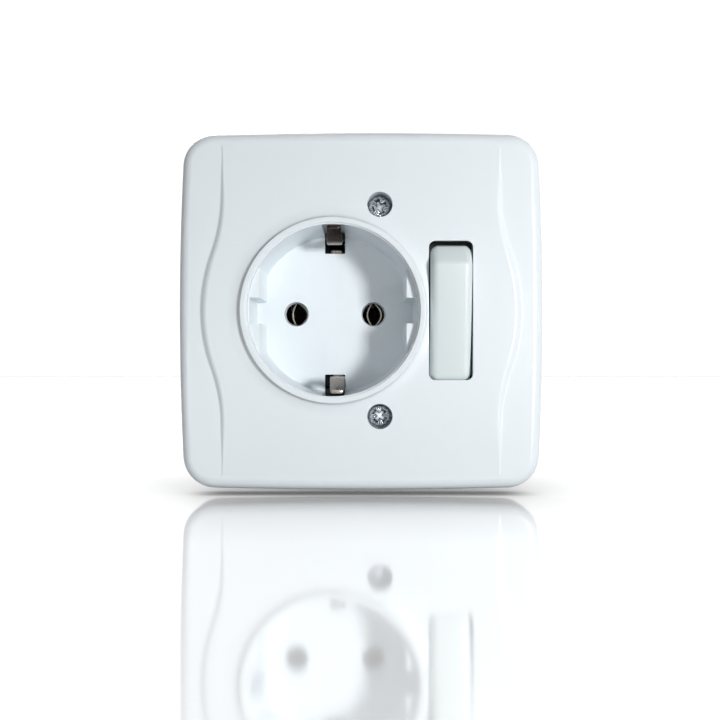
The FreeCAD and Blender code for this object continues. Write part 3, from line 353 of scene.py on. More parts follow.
def field_height(x, z):
    """Height of the plate's front without the ring: the raised, crowned field between the bands."""
    rise = FIELD_RISE * max(1 - (abs(z) / FIELD_REACH) ** 2.5, 0.0)
    scale = min(1.0, rise / FIELD_RISE + 0.02)
    inside = field_edge(z) - abs(x)
    slope = soft_max(inside + rise / 2, 0.0, FOOT_BLEND * scale)
    return BAND_HEIGHT + soft_min(slope, rise, CREST_BLEND * scale)


def ring_share(radius):
    """1 on the ring's flat, falling through its rounded edge and side to 0 at the foot."""
    if radius <= RING_FLAT:
        return 1.0
    if radius >= RING_END:
        return 0.0
    past = radius - RING_FLAT
    if past < RING_SHOULDER:
        t = past / RING_SHOULDER
        return 1 - (1 - SHOULDER_SHARE) * (1 - math.sqrt(1 - 0.8 * t * t)) / (1 - math.sqrt(0.2))
    if radius < RING_SIDE:
        t = (past - RING_SHOULDER) / (RING_SIDE - RING_FLAT - RING_SHOULDER)
        return SHOULDER_SHARE + (FOOT_SHARE - SHOULDER_SHARE) * t
    t = (radius - RING_SIDE) / (RING_END - RING_SIDE)
    return FOOT_SHARE * (1 - t) ** 2


def front_height(x, z):
    base = field_height(x, z)
    share = ring_share(math.hypot(x - WELL_X, z))
    return base + (RIM_HEIGHT - base) * share


def front_normal(x, z):
    distance, out_x, out_z = edge_distance(x, z)
    if distance < EDGE_ROUND:
        lean = min(1.0, (EDGE_ROUND - distance) / EDGE_ROUND)
        return Vector((out_x * lean, -math.sqrt(1 - lean * lean), out_z * lean))
    step = 0.02
    slope_x = (front_height(x + step, z) - front_height(x - step, z)) / (2 * step)
    slope_z = (front_height(x, z + step) - front_height(x, z - step)) / (2 * step)
    return Vector((-slope_x, -1.0, -slope_z)).normalized()


# the cover

class Web:
    """Points and the lines that hold them together, for a triangulation."""

    def __init__(self):
        self.points = []
        self.lines = []
        self.allowed = lambda x, z: True

    def loop(self, points, closed=True, free=False):
        """A line through points; a free one leaves out the points that aren't allowed."""
        before = None
        first = None
        for x, z in points:
            if free and not self.allowed(x, z):
                before = None
                continue
            self.points.append((x, z))
            here = len(self.points) - 1
            if before is not None:
                self.lines.append((before, here))
            elif first is None:
                first = here
            before = here
        if closed and before is not None and len(points) == here - first + 1:
            self.lines.append((before, first))

    def triangles(self, holes):
        coords = [Vector(point) for point in self.points]
        corners, _, faces, _, _, _ = delaunay_2d_cdt(coords, self.lines, [], 0, 1e-6)
        kept = []
        for face in faces:
            x = sum(corners[k].x for k in face) / 3
            z = sum(corners[k].y for k in face) / 3
            if not any(hole(x, z) for hole in holes):
                kept.append(list(face))
        return corners, kept


def in_circle(centre_x, centre_z, radius):
    return lambda x, z: math.hypot(x - centre_x, z - centre_z) < radius


def in_rounded_rectangle(centre_x, centre_z, half_wide, half_tall, radius):
    def inside(x, z):
        dx = max(abs(x - centre_x) - (half_wide - radius), 0)
        dz = max(abs(z - centre_z) - (half_tall - radius), 0)
        return math.hypot(dx, dz) < radius
    return inside


def facing(points, faces, towards):
    """The faces turned so that they all look the given way."""
    turned_faces = []
    for face in faces:
        normal = face_normal([points[k] for k in face])
        turned_faces.append(face if normal.dot(towards) > 0 else face[::-1])
    return turned_faces


def front_skin(work):
    """The whole front of the cover from the ring's flat to the plate's rounded edge."""
    opening = in_rounded_rectangle(SWITCH_X, 0, OPENING_HALF_WIDE, OPENING_HALF_TALL, OPENING_ROUND)
    room = 0.12
    near_opening = in_rounded_rectangle(SWITCH_X, 0, OPENING_HALF_WIDE + room,
                                        OPENING_HALF_TALL + room, OPENING_ROUND)
    web = Web()
    web.allowed = lambda x, z: not near_opening(x, z)
    for step in range(9):
        lean = math.pi / 2 * step / 8
        inset = EDGE_ROUND * (1 - math.sin(lean))
        web.loop([(x, z) for x, z, _, _ in outline(inset)])
    web.loop(rounded_rectangle(SWITCH_X, 0, OPENING_HALF_WIDE, OPENING_HALF_TALL, OPENING_ROUND, 8))
    for side in (1, -1):
        for radius in (SCREW_RECESS, SCREW_RECESS + 0.5):
            web.loop(circle_points(SCREW_X, side * SCREW_Z, radius, 48))
    radii = [JOIN_RADIUS, RING_FLAT]
    radii += [RING_FLAT + RING_SHOULDER * k / 6 for k in range(1, 7)]
    radii += [RING_FLAT + RING_SHOULDER + 0.2, RING_SIDE]
    radii += [RING_SIDE + (RING_END - RING_SIDE) * k / 6 for k in range(1, 7)]
    for radius in radii:
        web.loop(circle_points(WELL_X, 0, radius), free=radius > JOIN_RADIUS)
    edge_rows = 120
    limit = FIELD_REACH - 0.6
    offsets = (-2.2, -1.8, -1.5, -1.25, -1.0, -0.8, -0.6, -0.4, -0.2, 0.0, 0.2, 0.4, 0.6, 0.8, 1.1)
    for side in (1, -1):
        for offset in offsets:
            line = []
            for row in range(edge_rows + 1):
                z = limit * (2 * row / edge_rows - 1)
                line.append((side * (field_edge(z) + offset), z))
            web.loop(line, closed=False)
    spacing = 1.7
    clear = 0.8
    screws = [in_circle(SCREW_X, side * SCREW_Z, SCREW_RECESS + 1.2) for side in (1, -1)]
    ring = in_circle(WELL_X, 0, RING_END + clear)
    around = in_rounded_rectangle(SWITCH_X, 0, OPENING_HALF_WIDE + clear, OPENING_HALF_TALL + clear,
                                  OPENING_ROUND)
    steps = int(PLATE_HALF_WIDE / spacing)
    for column in range(-steps, steps + 1):
        for row in range(-steps, steps + 1):
            x = column * spacing + (spacing / 2 if row % 2 else 0)
            z = row * spacing
            if edge_distance(x, z)[0] < EDGE_ROUND + clear or ring(x, z) or around(x, z):
                continue
            past_edge = abs(x) - field_edge(z)
            if offsets[0] - 0.5 < past_edge < offsets[-1] + 0.5 and abs(z) < limit + 0.5:
                continue
            if any(screw(x, z) for screw in screws):
                continue
            web.points.append((x, z))
    holes = [in_circle(WELL_X, 0, JOIN_RADIUS - 0.02), opening]
    holes += [in_circle(SCREW_X, side * SCREW_Z, SCREW_RECESS - 0.01) for side in (1, -1)]
    corners, faces = web.triangles(holes)
    points = []
    normals = []
    for corner in corners:
        x, z = corner
        distance = edge_distance(x, z)[0]
        if distance < EDGE_ROUND:
            drop = EDGE_ROUND - math.sqrt(EDGE_ROUND ** 2 - (EDGE_ROUND - max(distance, 0)) ** 2)
            height = BAND_HEIGHT - drop
        else:
            height = front_height(x, z)
        points.append(place(x, height, z))
        normals.append(front_normal(x, z))
    work.add(points, facing(points, faces, Vector((0, -1, 0))), normals)


def fence(work, lower, upper, inwards=False, smooth=False):
    """A wall of quads between two loops of (x, height, z) points with the same count."""
    count = len(lower)
    points = [place(*point) for point in lower + upper]
    faces = []
    for k in range(count):
        following = (k + 1) % count
        face = [k, following, count + following, count + k]
        faces.append(face if inwards else face[::-1])
    normals = None
    if smooth:
        normals = []
        for k in range(count):
            along = points[(k + 1) % count] - points[k - 1]
            rise = points[count + k] - points[k]
            normal = along.cross(rise).normalized()
            normals.append(normal if inwards else -normal)
        normals = normals + normals
    work.add(points, faces, normals)


def flat_face(work, loops, height, holes, towards):
    """A level face that fills the loops apart from its holes."""
    web = Web()
    for loop in loops:
        web.loop(loop)
    corners, faces = web.triangles(holes)
    points = [place(corner.x, height, corner.y) for corner in corners]
    work.add(points, facing(points, faces, Vector((0, towards, 0))))


def plate_back(work):
    """The sides, the rim on the wall, and the hollow behind the plate's front."""
    outer = [(x, z) for x, z, _, _ in outline(0)]
    inner = [(x, z) for x, z, _, _ in outline(WALL)]
    top = BAND_HEIGHT - EDGE_ROUND
    fence(work, [(x, 0, z) for x, z in outer], [(x, top, z) for x, z in outer], smooth=True)
    flat_face(work, [outer, inner], 0, [lambda x, z: edge_distance(x, z)[0] > WALL], 1)
    fence(work, [(x, 0, z) for x, z in inner], [(x, CAVITY_TOP, z) for x, z in inner],
          inwards=True, smooth=True)
    cup = circle_points(WELL_X, 0, WELL_OUTER)
    lip_height = BAND_HEIGHT + FIELD_RISE - OPENING_LIP
    near = rounded_rectangle(SWITCH_X, 0, OPENING_HALF_WIDE, OPENING_HALF_TALL, OPENING_ROUND, 8)
    wide_tall = OPENING_HALF_TALL + OPENING_RELIEF
    wide = rounded_rectangle(SWITCH_X, 0, OPENING_HALF_WIDE, wide_tall, RELIEF_ROUND, 8)
    in_cup = in_circle(WELL_X, 0, WELL_OUTER - 0.01)
    in_wide = in_rounded_rectangle(SWITCH_X, 0, OPENING_HALF_WIDE, wide_tall, RELIEF_ROUND)
    in_near = in_rounded_rectangle(SWITCH_X, 0, OPENING_HALF_WIDE, OPENING_HALF_TALL, OPENING_ROUND)
    bosses = [circle_points(SCREW_X, side * SCREW_Z, BOSS_RADIUS, 48) for side in (1, -1)]
    in_bosses = [in_circle(SCREW_X, side * SCREW_Z, BOSS_RADIUS - 0.01) for side in (1, -1)]
    flat_face(work, [inner, cup, wide] + bosses, CAVITY_TOP, [in_cup, in_wide] + in_bosses, 1)
    fence(work, [(x, lip_height, z) for x, z in near], [(x, front_height(x, z), z) for x, z in near],
          inwards=True)
    flat_face(work, [near, wide], lip_height, [in_near], 1)
    fence(work, [(x, CAVITY_TOP, z) for x, z in wide], [(x, lip_height, z) for x, z in wide],
          inwards=True)
    for side in (1, -1):
        seat = circle_points(SCREW_X, side * SCREW_Z, SCREW_RECESS, 48)
        fence(work, [(x, SEAT_HEIGHT, z) for x, z in seat],
              [(x, front_height(x, z), z) for x, z in seat], inwards=True, smooth=True)
        hole = circle_points(SCREW_X, side * SCREW_Z, SHANK_HOLE, 48)
        boss = bosses[0] if side > 0 else bosses[1]
        inside_hole = in_circle(SCREW_X, side * SCREW_Z, SHANK_HOLE - 0.01)
        flat_face(work, [seat, hole], SEAT_HEIGHT, [inside_hole], -1)
        fence(work, [(x, BOSS_FOOT, z) for x, z in hole], [(x, SEAT_HEIGHT, z) for x, z in hole],
              inwards=True, smooth=True)
        flat_face(work, [boss, hole], BOSS_FOOT, [inside_hole], 1)
        fence(work, [(x, BOSS_FOOT, z) for x, z in boss], [(x, CAVITY_TOP, z) for x, z in boss],
              smooth=True)


def well_cup():
    """The well with its lip, plug guides, pin holes and slots for the earth clips."""
    profile = [(0, FLOOR_HEIGHT), (WELL_RADIUS - FLOOR_ROUND, FLOOR_HEIGHT)]
    profile += [(WELL_RADIUS - FLOOR_ROUND + FLOOR_ROUND * math.sin(math.pi / 2 * k / 5),
                 FLOOR_HEIGHT + FLOOR_ROUND - FLOOR_ROUND * math.cos(math.pi / 2 * k / 5))
                for k in range(1, 6)]
    profile += [(MOUTH_RADIUS - LIP_STEP, RIM_HEIGHT - LIP_DEPTH - 0.05),
                (MOUTH_RADIUS - LIP_STEP + 0.05, RIM_HEIGHT - LIP_DEPTH),
                (MOUTH_RADIUS, RIM_HEIGHT - LIP_DEPTH)]
    profile += [(MOUTH_RADIUS + LIP_ROUND - LIP_ROUND * math.cos(math.pi / 2 * k / 4),
                 RIM_HEIGHT - LIP_ROUND + LIP_ROUND * math.sin(math.pi / 2 * k / 4)) for k in range(5)]
    profile += [(JOIN_RADIUS, RIM_HEIGHT), (JOIN_RADIUS, CAVITY_TOP), (WELL_OUTER, CAVITY_TOP),
                (WELL_OUTER, FLOOR_BACK + 0.4), (WELL_OUTER - 0.4, FLOOR_BACK), (0, FLOOR_BACK)]
    cup = turned("well_cup", profile, WELL_X, sharp=50)
    for side in (-1, 1):
        radius = WELL_RADIUS + GUIDE_ROOT
        half = math.acos(GUIDE_FLAT / radius)
        arc = [half * (2 * k / 24 - 1) for k in range(25)]
        flank = [(WELL_X + side * radius * math.cos(angle), radius * math.sin(angle))
                 for angle in arc]
        combine(cup, prism("guide", flank, FLOOR_HEIGHT - 1, GUIDE_TOP), "UNION")
        ends = sorted((WELL_X + side * (GUIDE_FLAT - 2), WELL_X + side * GROOVE_BACK))
        half_groove = GROOVE_WIDE / 2
        groove = [(ends[0], -half_groove), (ends[1], -half_groove),
                  (ends[1], half_groove), (ends[0], half_groove)]
        combine(cup, prism("groove", groove, FLOOR_HEIGHT, GUIDE_TOP + 1))
        bore = [(0, FLOOR_HEIGHT + 1), (PIN_HOLE, FLOOR_HEIGHT + 1), (PIN_HOLE, FLOOR_HEIGHT - 0.3),
                (PIN_THROAT, FLOOR_BACK + 0.3), (PIN_THROAT, FLOOR_BACK - 1), (0, FLOOR_BACK - 1)]
        combine(cup, turned("pin_hole", bore, WELL_X + side * PIN_OFFSET, steps=64))
        low, high = sorted((side * SLOT_INNER, side * SLOT_OUTER))
        slot = rounded_rectangle(WELL_X, (low + high) / 2, SLOT_WIDE / 2, (high - low) / 2, 0.25, 3)
        combine(cup, prism("earth_slot", slot, FLOOR_BACK - 1, SLOT_TOP))
    return cup


def make_cover():
    work = Patchwork()
    front_skin(work)
    plate_back(work)
    cup = well_cup()

    def shown(centre):
        radius = math.hypot(centre.x - WELL_X, centre.z)
        height = -centre.y
        inner_wall = radius > JOIN_RADIUS - 0.03 and CAVITY_TOP - 0.01 < height < RIM_HEIGHT - 0.01
        return not inner_wall

    work.add_mesh(cup.data, shown)
    bpy.data.objects.remove(cup)
    piece = work.finish("cover_moulding")
    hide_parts("front_cover")
    return finish_piece(piece, "housing", "cover_plastic")


# materials

def nodes_of(material):
    material.use_nodes = True
    return material.node_tree.nodes, material.node_tree.links


def speckle(nodes, links, scale):
    where = nodes.new("ShaderNodeTexCoord")
    noise = nodes.new("ShaderNodeTexNoise")
    noise.inputs["Scale"].default_value = scale
    noise.inputs["Detail"].default_value = 2
    links.new(where.outputs["Object"], noise.inputs["Vector"])
    return noise


def spread(nodes, links, source, low, high):
    ramp = nodes.new("ShaderNodeMapRange")
    ramp.inputs["From Min"].default_value = 0.3
    ramp.inputs["From Max"].default_value = 0.7
    ramp.inputs["To Min"].default_value = low
    ramp.inputs["To Max"].default_value = high
    links.new(source, ramp.inputs["Value"])
    return ramp.outputs["Result"]


def mottled(nodes, links, source, colour, share):
    """The colour, a little darker where the source is low.

    Inputs 6 and 7 of a mixing node are its two colours, and output 2 is their mix.
    """
    mix = nodes.new("ShaderNodeMix")
    mix.data_type = "RGBA"
    mix.inputs[6].default_value = (*[c * (1 - share) for c in colour], 1)
    mix.inputs[7].default_value = (*colour, 1)
    links.new(source, mix.inputs[0])
    return mix.outputs[2]


def soft_edges(nodes, links, radius, bump_source, strength, distance):
    """Rounded looking edges, where radius is over 0, with a fine unevenness on top."""
    bump = nodes.new("ShaderNodeBump")
    bump.inputs["Strength"].default_value = strength
    bump.inputs["Distance"].default_value = distance
    links.new(bump_source, bump.inputs["Height"])
    if radius:
        bevel = nodes.new("ShaderNodeBevel")
        bevel.samples = 6
        bevel.inputs["Radius"].default_value = radius
        links.new(bevel.outputs["Normal"], bump.inputs["Normal"])
    return bump.outputs["Normal"]


def plastic(name, colour, roughness, edge=0.00025, coat=0.0, shine=0.5):
    """Moulded plastic: even colour, faint flow marks in the gloss, fine unevenness."""
    material = bpy.data.materials.new(name)
    nodes, links = nodes_of(material)
    shader = nodes["Principled BSDF"]
    broad = speckle(nodes, links, 60)
    fine = speckle(nodes, links, 2600)
    links.new(mottled(nodes, links, broad.outputs["Fac"], colour, 0.012), shader.inputs["Base Color"])
    links.new(spread(nodes, links, fine.outputs["Fac"], roughness * 0.97, roughness * 1.03),
              shader.inputs["Roughness"])
    links.new(soft_edges(nodes, links, edge, fine.outputs["Fac"], 0.02, 0.00001),
              shader.inputs["Normal"])
    shader.inputs["IOR"].default_value = 1.5
    shader.inputs["Specular IOR Level"].default_value = shine
    shader.inputs["Coat Weight"].default_value = coat
    shader.inputs["Coat Roughness"].default_value = 0.08
    return material


def metal(name, colour, roughness, edge=0.0001, stretch=(1, 1, 1), scale=2500, painted_shade_reach=0):
    """Plated or brushed metal with streaks along the stretch, with painted shade that darkens its
    colour within the given reach of other faces.
    """
    material = bpy.data.materials.new(name)
    nodes, links = nodes_of(material)
    shader = nodes["Principled BSDF"]
    where = nodes.new("ShaderNodeTexCoord")
    mapping = nodes.new("ShaderNodeMapping")
    mapping.inputs["Scale"].default_value = stretch
    grain = nodes.new("ShaderNodeTexNoise")
    grain.inputs["Scale"].default_value = scale
    grain.inputs["Detail"].default_value = 4
    links.new(where.outputs["Object"], mapping.inputs["Vector"])
    links.new(mapping.outputs["Vector"], grain.inputs["Vector"])
    tone = mottled(nodes, links, grain.outputs["Fac"], colour, 0.18)
    # Painted shade: an occlusion node darkens the base colour near other faces, standing in for the
    # shade in recesses and between parts.
    if painted_shade_reach:
        near = nodes.new("ShaderNodeAmbientOcclusion")
        near.samples = 8
        near.inputs["Distance"].default_value = painted_shade_reach
        links.new(tone, near.inputs["Color"])
        tone = near.outputs["Color"]
    links.new(tone, shader.inputs["Base Color"])
    links.new(spread(nodes, links, grain.outputs["Fac"], roughness * 0.7, roughness * 1.3),
              shader.inputs["Roughness"])
    links.new(soft_edges(nodes, links, edge, grain.outputs["Fac"], 0.1, 0.00002),
              shader.inputs["Normal"])
    shader.inputs["Metallic"].default_value = 1.0
    return material


MATERIALS = {
    "cover_plastic": plastic("cover_plastic", (0.79, 0.845, 0.88), 0.3, edge=0,
                             coat=0.08, shine=0.4),
    "rocker_plastic": plastic("rocker_plastic", (0.69, 0.76, 0.765), 0.38, 0.0006, coat=0.05),
    "base_plastic": plastic("base_plastic", (0.03, 0.031, 0.034), 0.6, shine=0.3),
    "plunger_plastic": plastic("plunger_plastic", (0.72, 0.71, 0.66), 0.4),
    # frame_steel, screw_zinc and earth_steel take painted shade near other faces, over the reach given
    # last.
    "frame_steel": metal("frame_steel", (0.60, 0.61, 0.60), 0.38, stretch=(1, 1, 0.15),
                         painted_shade_reach=0.015),
    "screw_zinc": metal("screw_zinc", (0.56, 0.59, 0.63), 0.2, scale=1800, painted_shade_reach=0.0008),
    "earth_steel": metal("earth_steel", (0.34, 0.31, 0.285), 0.24, stretch=(6, 0.5, 0.5),
                         painted_shade_reach=0.005),
    # Painted shade: the contacts are darkened far below brass, to stand in for the shade deep in the
    # pin holes.
    "contact_brass": metal("contact_brass", (0.20, 0.19, 0.165), 0.3, stretch=(0.3, 1, 1)),
    "tip_silver": metal("tip_silver", (0.78, 0.78, 0.77), 0.25),
    "spring_steel": metal("spring_steel", (0.50, 0.50, 0.51), 0.25),
}


def paint_shade_on_upper_lip(material):
    """Paints shade, dark brown, on the lip of the upper earth clip, from just in front of its knee."""
    nodes, links = nodes_of(material)
    shader = nodes["Principled BSDF"]
    tone = shader.inputs["Base Color"].links[0].from_socket
    where = nodes.new("ShaderNodeTexCoord")
    axes = nodes.new("ShaderNodeSeparateXYZ")
    links.new(where.outputs["Object"], axes.inputs[0])
    lip = nodes.new("ShaderNodeMapRange")
    lip.inputs["From Min"].default_value = -3.1 * MM
    lip.inputs["From Max"].default_value = -4.5 * MM
    links.new(axes.outputs["Y"], lip.inputs["Value"])
    upper = nodes.new("ShaderNodeMath")
    upper.operation = "GREATER_THAN"
    upper.inputs[1].default_value = 0.0
    links.new(axes.outputs["Z"], upper.inputs[0])
    share = nodes.new("ShaderNodeMath")
    share.operation = "MULTIPLY"
    links.new(lip.outputs["Result"], share.inputs[0])
    links.new(upper.outputs[0], share.inputs[1])
    mix = nodes.new("ShaderNodeMix")
    mix.data_type = "RGBA"
    # The dark brown of the painted shade on the upper clip's lip.
    mix.inputs[7].default_value = (0.045, 0.033, 0.028, 1)
    links.new(share.outputs[0], mix.inputs[0])
    links.new(tone, mix.inputs[6])
    links.new(mix.outputs[2], shader.inputs["Base Color"])


# Painted shade on the upper earth clip's lip.
paint_shade_on_upper_lip(MATERIALS["earth_steel"])


def finish_piece(piece, body, slot):
    piece.data.materials.clear()
    piece.data.materials.append(MATERIALS[slot])
    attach(piece, body)
    return piece


# the switch key

PIVOT_HEIGHT = -4.7
ROCKER_TILT = 8.4
KEY_HALF_WIDE = 4.71
KEY_RADIUS = 20.6
KEY_FACE = 16.0
KEY_SKIRT = 12.0
KEY_WALL = 1.4
KEY_EDGE = 1.8
KEY_END_ROUND = 2.0
TRUNNION = 1.4
TRUNNION_REACH = 5.1
STEM_HALF_WIDE = 3.8
STEM_HALF_TALL = 3.0
STEM_FOOT = -2.4
PLUNGER_BORE = 1.76
BORE_TOP = 12.5


def on_pivot(piece):
    """Moves a piece drawn about its pivot to the switch, with its rest tilt."""
    piece.data.transform(Matrix.Rotation(math.radians(ROCKER_TILT), 4, "X"))
    piece.data.transform(Matrix.Translation(place(SWITCH_X, PIVOT_HEIGHT, 0)))


def key_side(inset, skirt, steps=12):
    """Side view of the key about its pivot, inset all round, as (height, z) points."""
    face = KEY_FACE - inset
    radius = KEY_RADIUS - inset
    bend = max(KEY_END_ROUND - inset, 0.15)
    middle = (face - bend, math.sqrt((radius - bend) ** 2 - (face - bend) ** 2))
    turn = math.atan2(middle[1], middle[0])
    half = []
    for k in range(steps + 1):
        angle = turn * k / steps
        half.append((middle[0] + bend * math.cos(angle), middle[1] + bend * math.sin(angle)))
    low = math.acos(skirt / radius)
    half += [(radius * math.cos(turn + (low - turn) * k / steps),
              radius * math.sin(turn + (low - turn) * k / steps)) for k in range(1, steps + 1)]
    level = [(half[0][0], half[0][1] * (1 - k / 6)) for k in range(1, 6)]
    upper = half[::-1] + level
    return upper + [(height, -z) for height, z in [(half[0][0], 0.0)] + level[::-1] + half]


def key_block(name, skirt, half_wide, sections=9):
    """A solid with the key's side view, rounded along its long edges."""
    shape = bmesh.new()
    loops = []
    places = [(-half_wide + KEY_EDGE * (1 - math.cos(math.pi / 2 * k / sections)),
               KEY_EDGE * (1 - math.sin(math.pi / 2 * k / sections))) for k in range(sections + 1)]
    for x, inset in places + [(-x, inset) for x, inset in reversed(places)]:
        loops.append([shape.verts.new(place(x, height, z)) for height, z in key_side(inset, skirt)])
    count = len(loops[0])
    for near, far in zip(loops, loops[1:]):
        for k in range(count):
            following = (k + 1) % count
            shape.faces.new((near[k], near[following], far[following], far[k]))
    shape.faces.new(loops[0])
    shape.faces.new(loops[-1])
    return piece_from(name, shape, 40)


def side_prism(name, side_view, half_wide):
    shape = bmesh.new()
    ends = []
    for x in (-half_wide, half_wide):
        ends.append([shape.verts.new(place(x, height, z)) for height, z in side_view])
        shape.faces.new(ends[-1])
    count = len(side_view)
    for k in range(count):
        shape.faces.new((ends[0][k], ends[0][(k + 1) % count], ends[1][(k + 1) % count], ends[1][k]))
    return piece_from(name, shape, 40)


def make_key():
    key = key_block("rocker_key", KEY_SKIRT, KEY_HALF_WIDE)
    hollow = side_prism("hollow", key_side(KEY_WALL, KEY_SKIRT - 1), KEY_HALF_WIDE - KEY_WALL)
    combine(key, hollow)
    stem = prism("stem", rounded_rectangle(0, 0, STEM_HALF_WIDE, STEM_HALF_TALL, 0.4, 3),
                 STEM_FOOT, KEY_FACE - KEY_WALL / 2)
    combine(key, stem, "UNION")
    pins = side_prism("trunnions", circle_points(0, 0, TRUNNION, 32), TRUNNION_REACH)
    combine(key, pins, "UNION")
    bore = prism("bore", circle_points(0, 0, PLUNGER_BORE, 48), STEM_FOOT - 0.6, BORE_TOP)
    combine(key, bore)
    on_pivot(key)
    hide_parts("rocker")
    return finish_piece(key, "rocker", "rocker_plastic")


# the pin contacts

def make_pin_contact(node, x, mouths):
    """A folded strip with two bowed leaves, whose mouths stand so far left and right of the axis."""
    thick = 0.6
    room_back = -26.0
    tab_top = -16.0
    low_end = -17.6
    tab_end = -9.6
    high_end = 3.2
    leaf_thick = 0.4
    leaf_half_tall = 2.7
    strip = side_prism("strip", [(room_back, high_end), (room_back, low_end), (tab_top, low_end),
                                 (tab_top, tab_end), (tab_top - thick, tab_end),
                                 (tab_top - thick, low_end + thick),
                                 (room_back + thick, low_end + thick),
                                 (room_back + thick, high_end)], 3.05)
    strip.data.transform(Matrix.Translation(place(x, 0, 0)))
    for side, mouth in zip((-1, 1), mouths):
        shape = bmesh.new()
        loops = []
        rows = [(room_back + 0.1, 2.2), (-16.0, 2.2), (-13.0, mouth + 0.2), (-11.4, mouth - 0.25),
                (-10.5, mouth), (-10.0, mouth + 0.3)]
        for height, belly in rows:
            loop = []
            for reach, turn in ((belly, 1), (belly + leaf_thick, -1)):
                for k in range(17):
                    share = turn * (2 * k / 16 - 1)
                    loop.append(shape.verts.new(place(x + side * (reach - belly * 0.85 * share ** 2),
                                                      height, leaf_half_tall * share)))
            loops.append(loop)
        count = len(loops[0])
        for near, far in zip(loops, loops[1:]):
            for k in range(count):
                following = (k + 1) % count
                shape.faces.new((near[k], near[following], far[following], far[k]))
        shape.faces.new(loops[0])
        shape.faces.new(loops[-1])
        combine(strip, piece_from("leaf", shape, 40), "UNION")
    for z, radius, low, high in ((-13.0, 1.4, -18, -15), (0.2, 2.7, -27, -25.2)):
        combine(strip, prism("hole", circle_points(x, z, radius, 32), low, high))
    strip.name = node + "_spring"
    strip.data.name = strip.name
    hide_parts(node)
    return finish_piece(strip, "housing", "contact_brass")


# the cover screws

def make_cover_screw(name, side, spin):
    """A pan head on its shank, with a cross recess and ribs that run outwards between its arms."""
    head = 2.5
    top = SEAT_HEIGHT + 1.9
    steps = 192
    shank = 1.65
    cross_reach = 1.75
    rib_low = 0.8
    rib_high = 2.35
    ribs = 12
    rib_rise = 0.34
    radii = [0.15, 0.3, 0.42, 0.48, 0.7, 0.95, 1.2, 1.4, 1.55, 1.65, 1.8, 1.95, 2.1, 2.25, rib_high]

    def crown(radius, angle):
        x = radius * math.cos(angle - spin)
        z = radius * math.sin(angle - spin)
        arm = min(abs(x), abs(z))
        length = max(abs(x), abs(z))
        depth = 0.0
        if length < cross_reach:
            wall = min(max((0.5 - arm) / 0.1, 0.0), 1.0)
            depth = wall * min(1.0, (cross_reach - length) / 0.45)
        rib = 0.0
        if rib_low < radius < rib_high:
            fade = min((radius - rib_low) / 0.4, (rib_high - radius) / 0.15, 1.0)
            rib = fade * rib_rise * (0.5 + 0.5 * math.cos(ribs * (angle - spin)))
            rib *= 1 - min(depth / 0.2, 1.0)
        return top - 0.12 * (radius / head) ** 2 - depth + rib - 0.1

    shape = bmesh.new()
    centre = shape.verts.new(place(SCREW_X, crown(0, 0), side * SCREW_Z))
    rings = []
    heights = [(head - 0.05, top - 0.28), (head, top - 0.5), (head, SEAT_HEIGHT + 0.1),
               (head - 0.1, SEAT_HEIGHT), (shank, SEAT_HEIGHT), (shank, -5.4), (1.1, -6.0)]
    for radius in radii:
        ring = []
        for k in range(steps):
            angle = 2 * math.pi * k / steps
            ring.append(shape.verts.new(place(SCREW_X + radius * math.cos(angle), crown(radius, angle),
                                              side * SCREW_Z + radius * math.sin(angle))))
        rings.append(ring)
    for radius, height in heights:
        rings.append([shape.verts.new(place(x, height, z)) for x, z in
                      circle_points(SCREW_X, side * SCREW_Z, radius, steps)])
    for k in range(steps):
        shape.faces.new((centre, rings[0][k], rings[0][(k + 1) % steps]))
    for near, far in zip(rings, rings[1:]):
        for k in range(steps):
            following = (k + 1) % steps
            shape.faces.new((near[k], far[k], far[following], near[following]))
    shape.faces.new(rings[-1])
    piece = piece_from(name, shape, 50)
    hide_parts(name.replace("_dressed", ""))
    return finish_piece(piece, "housing", "screw_zinc")


# the earth strap

def swept_strip(shape, line, centre_x, wide, thick):
    """A strip with rounded edges and a rounded far end along a line of (z, height) points."""
    section = []
    corner = thick * 0.3
    for quarter, (sx, sn) in enumerate(((1, 1), (-1, 1), (-1, -1), (1, -1))):
        for k in range(4):
            angle = math.pi / 2 * (quarter + k / 3)
            section.append((sx * (wide / 2 - corner) + corner * math.cos(angle),
                            sn * (thick / 2 - corner) + corner * math.sin(angle)))
    tip = 0.62
    reach = wide * 0.45
    rings = []
    for index, (z, height) in enumerate(line):
        before = line[max(index - 1, 0)]
        after = line[min(index + 1, len(line) - 1)]
        along = Vector((after[0] - before[0], after[1] - before[1])).normalized()
        across = Vector((-along.y, along.x))
        narrow = 1.0
        rest = math.hypot(line[-1][0] - z, line[-1][1] - height)
        if rest < reach:
            narrow = tip + (1 - tip) * math.sqrt(max(0.0, 1 - (1 - rest / reach) ** 2))
        ring = []
        for x, n in section:
            ring.append(shape.verts.new(place(centre_x + x * narrow, height + across.y * n,
                                              z + across.x * n)))
        rings.append(ring)
    count = len(section)
    for near, far in zip(rings, rings[1:]):
        for k in range(count):
            following = (k + 1) % count
            shape.faces.new((near[k], near[following], far[following], far[k]))
    shape.faces.new(rings[0])
    shape.faces.new(rings[-1])


def rounded_route(corners, radius, steps=7):
    """Straight runs between corners, with an arc like bend at each inner corner."""
    route = [Vector(corners[0])]
    for before, corner, after in zip(corners, corners[1:], corners[2:]):
        corner = Vector(corner)
        into = Vector(before) - corner
        out = Vector(after) - corner
        reach = min(radius, into.length * 0.45, out.length * 0.45)
        start = corner + into.normalized() * reach
        end = corner + out.normalized() * reach
        for k in range(steps + 1):
            t = k / steps
            route.append(start * (1 - t) ** 2 + corner * 2 * t * (1 - t) + end * t ** 2)
    route.append(Vector(corners[-1]))
    return [(point.x, point.y) for point in route]


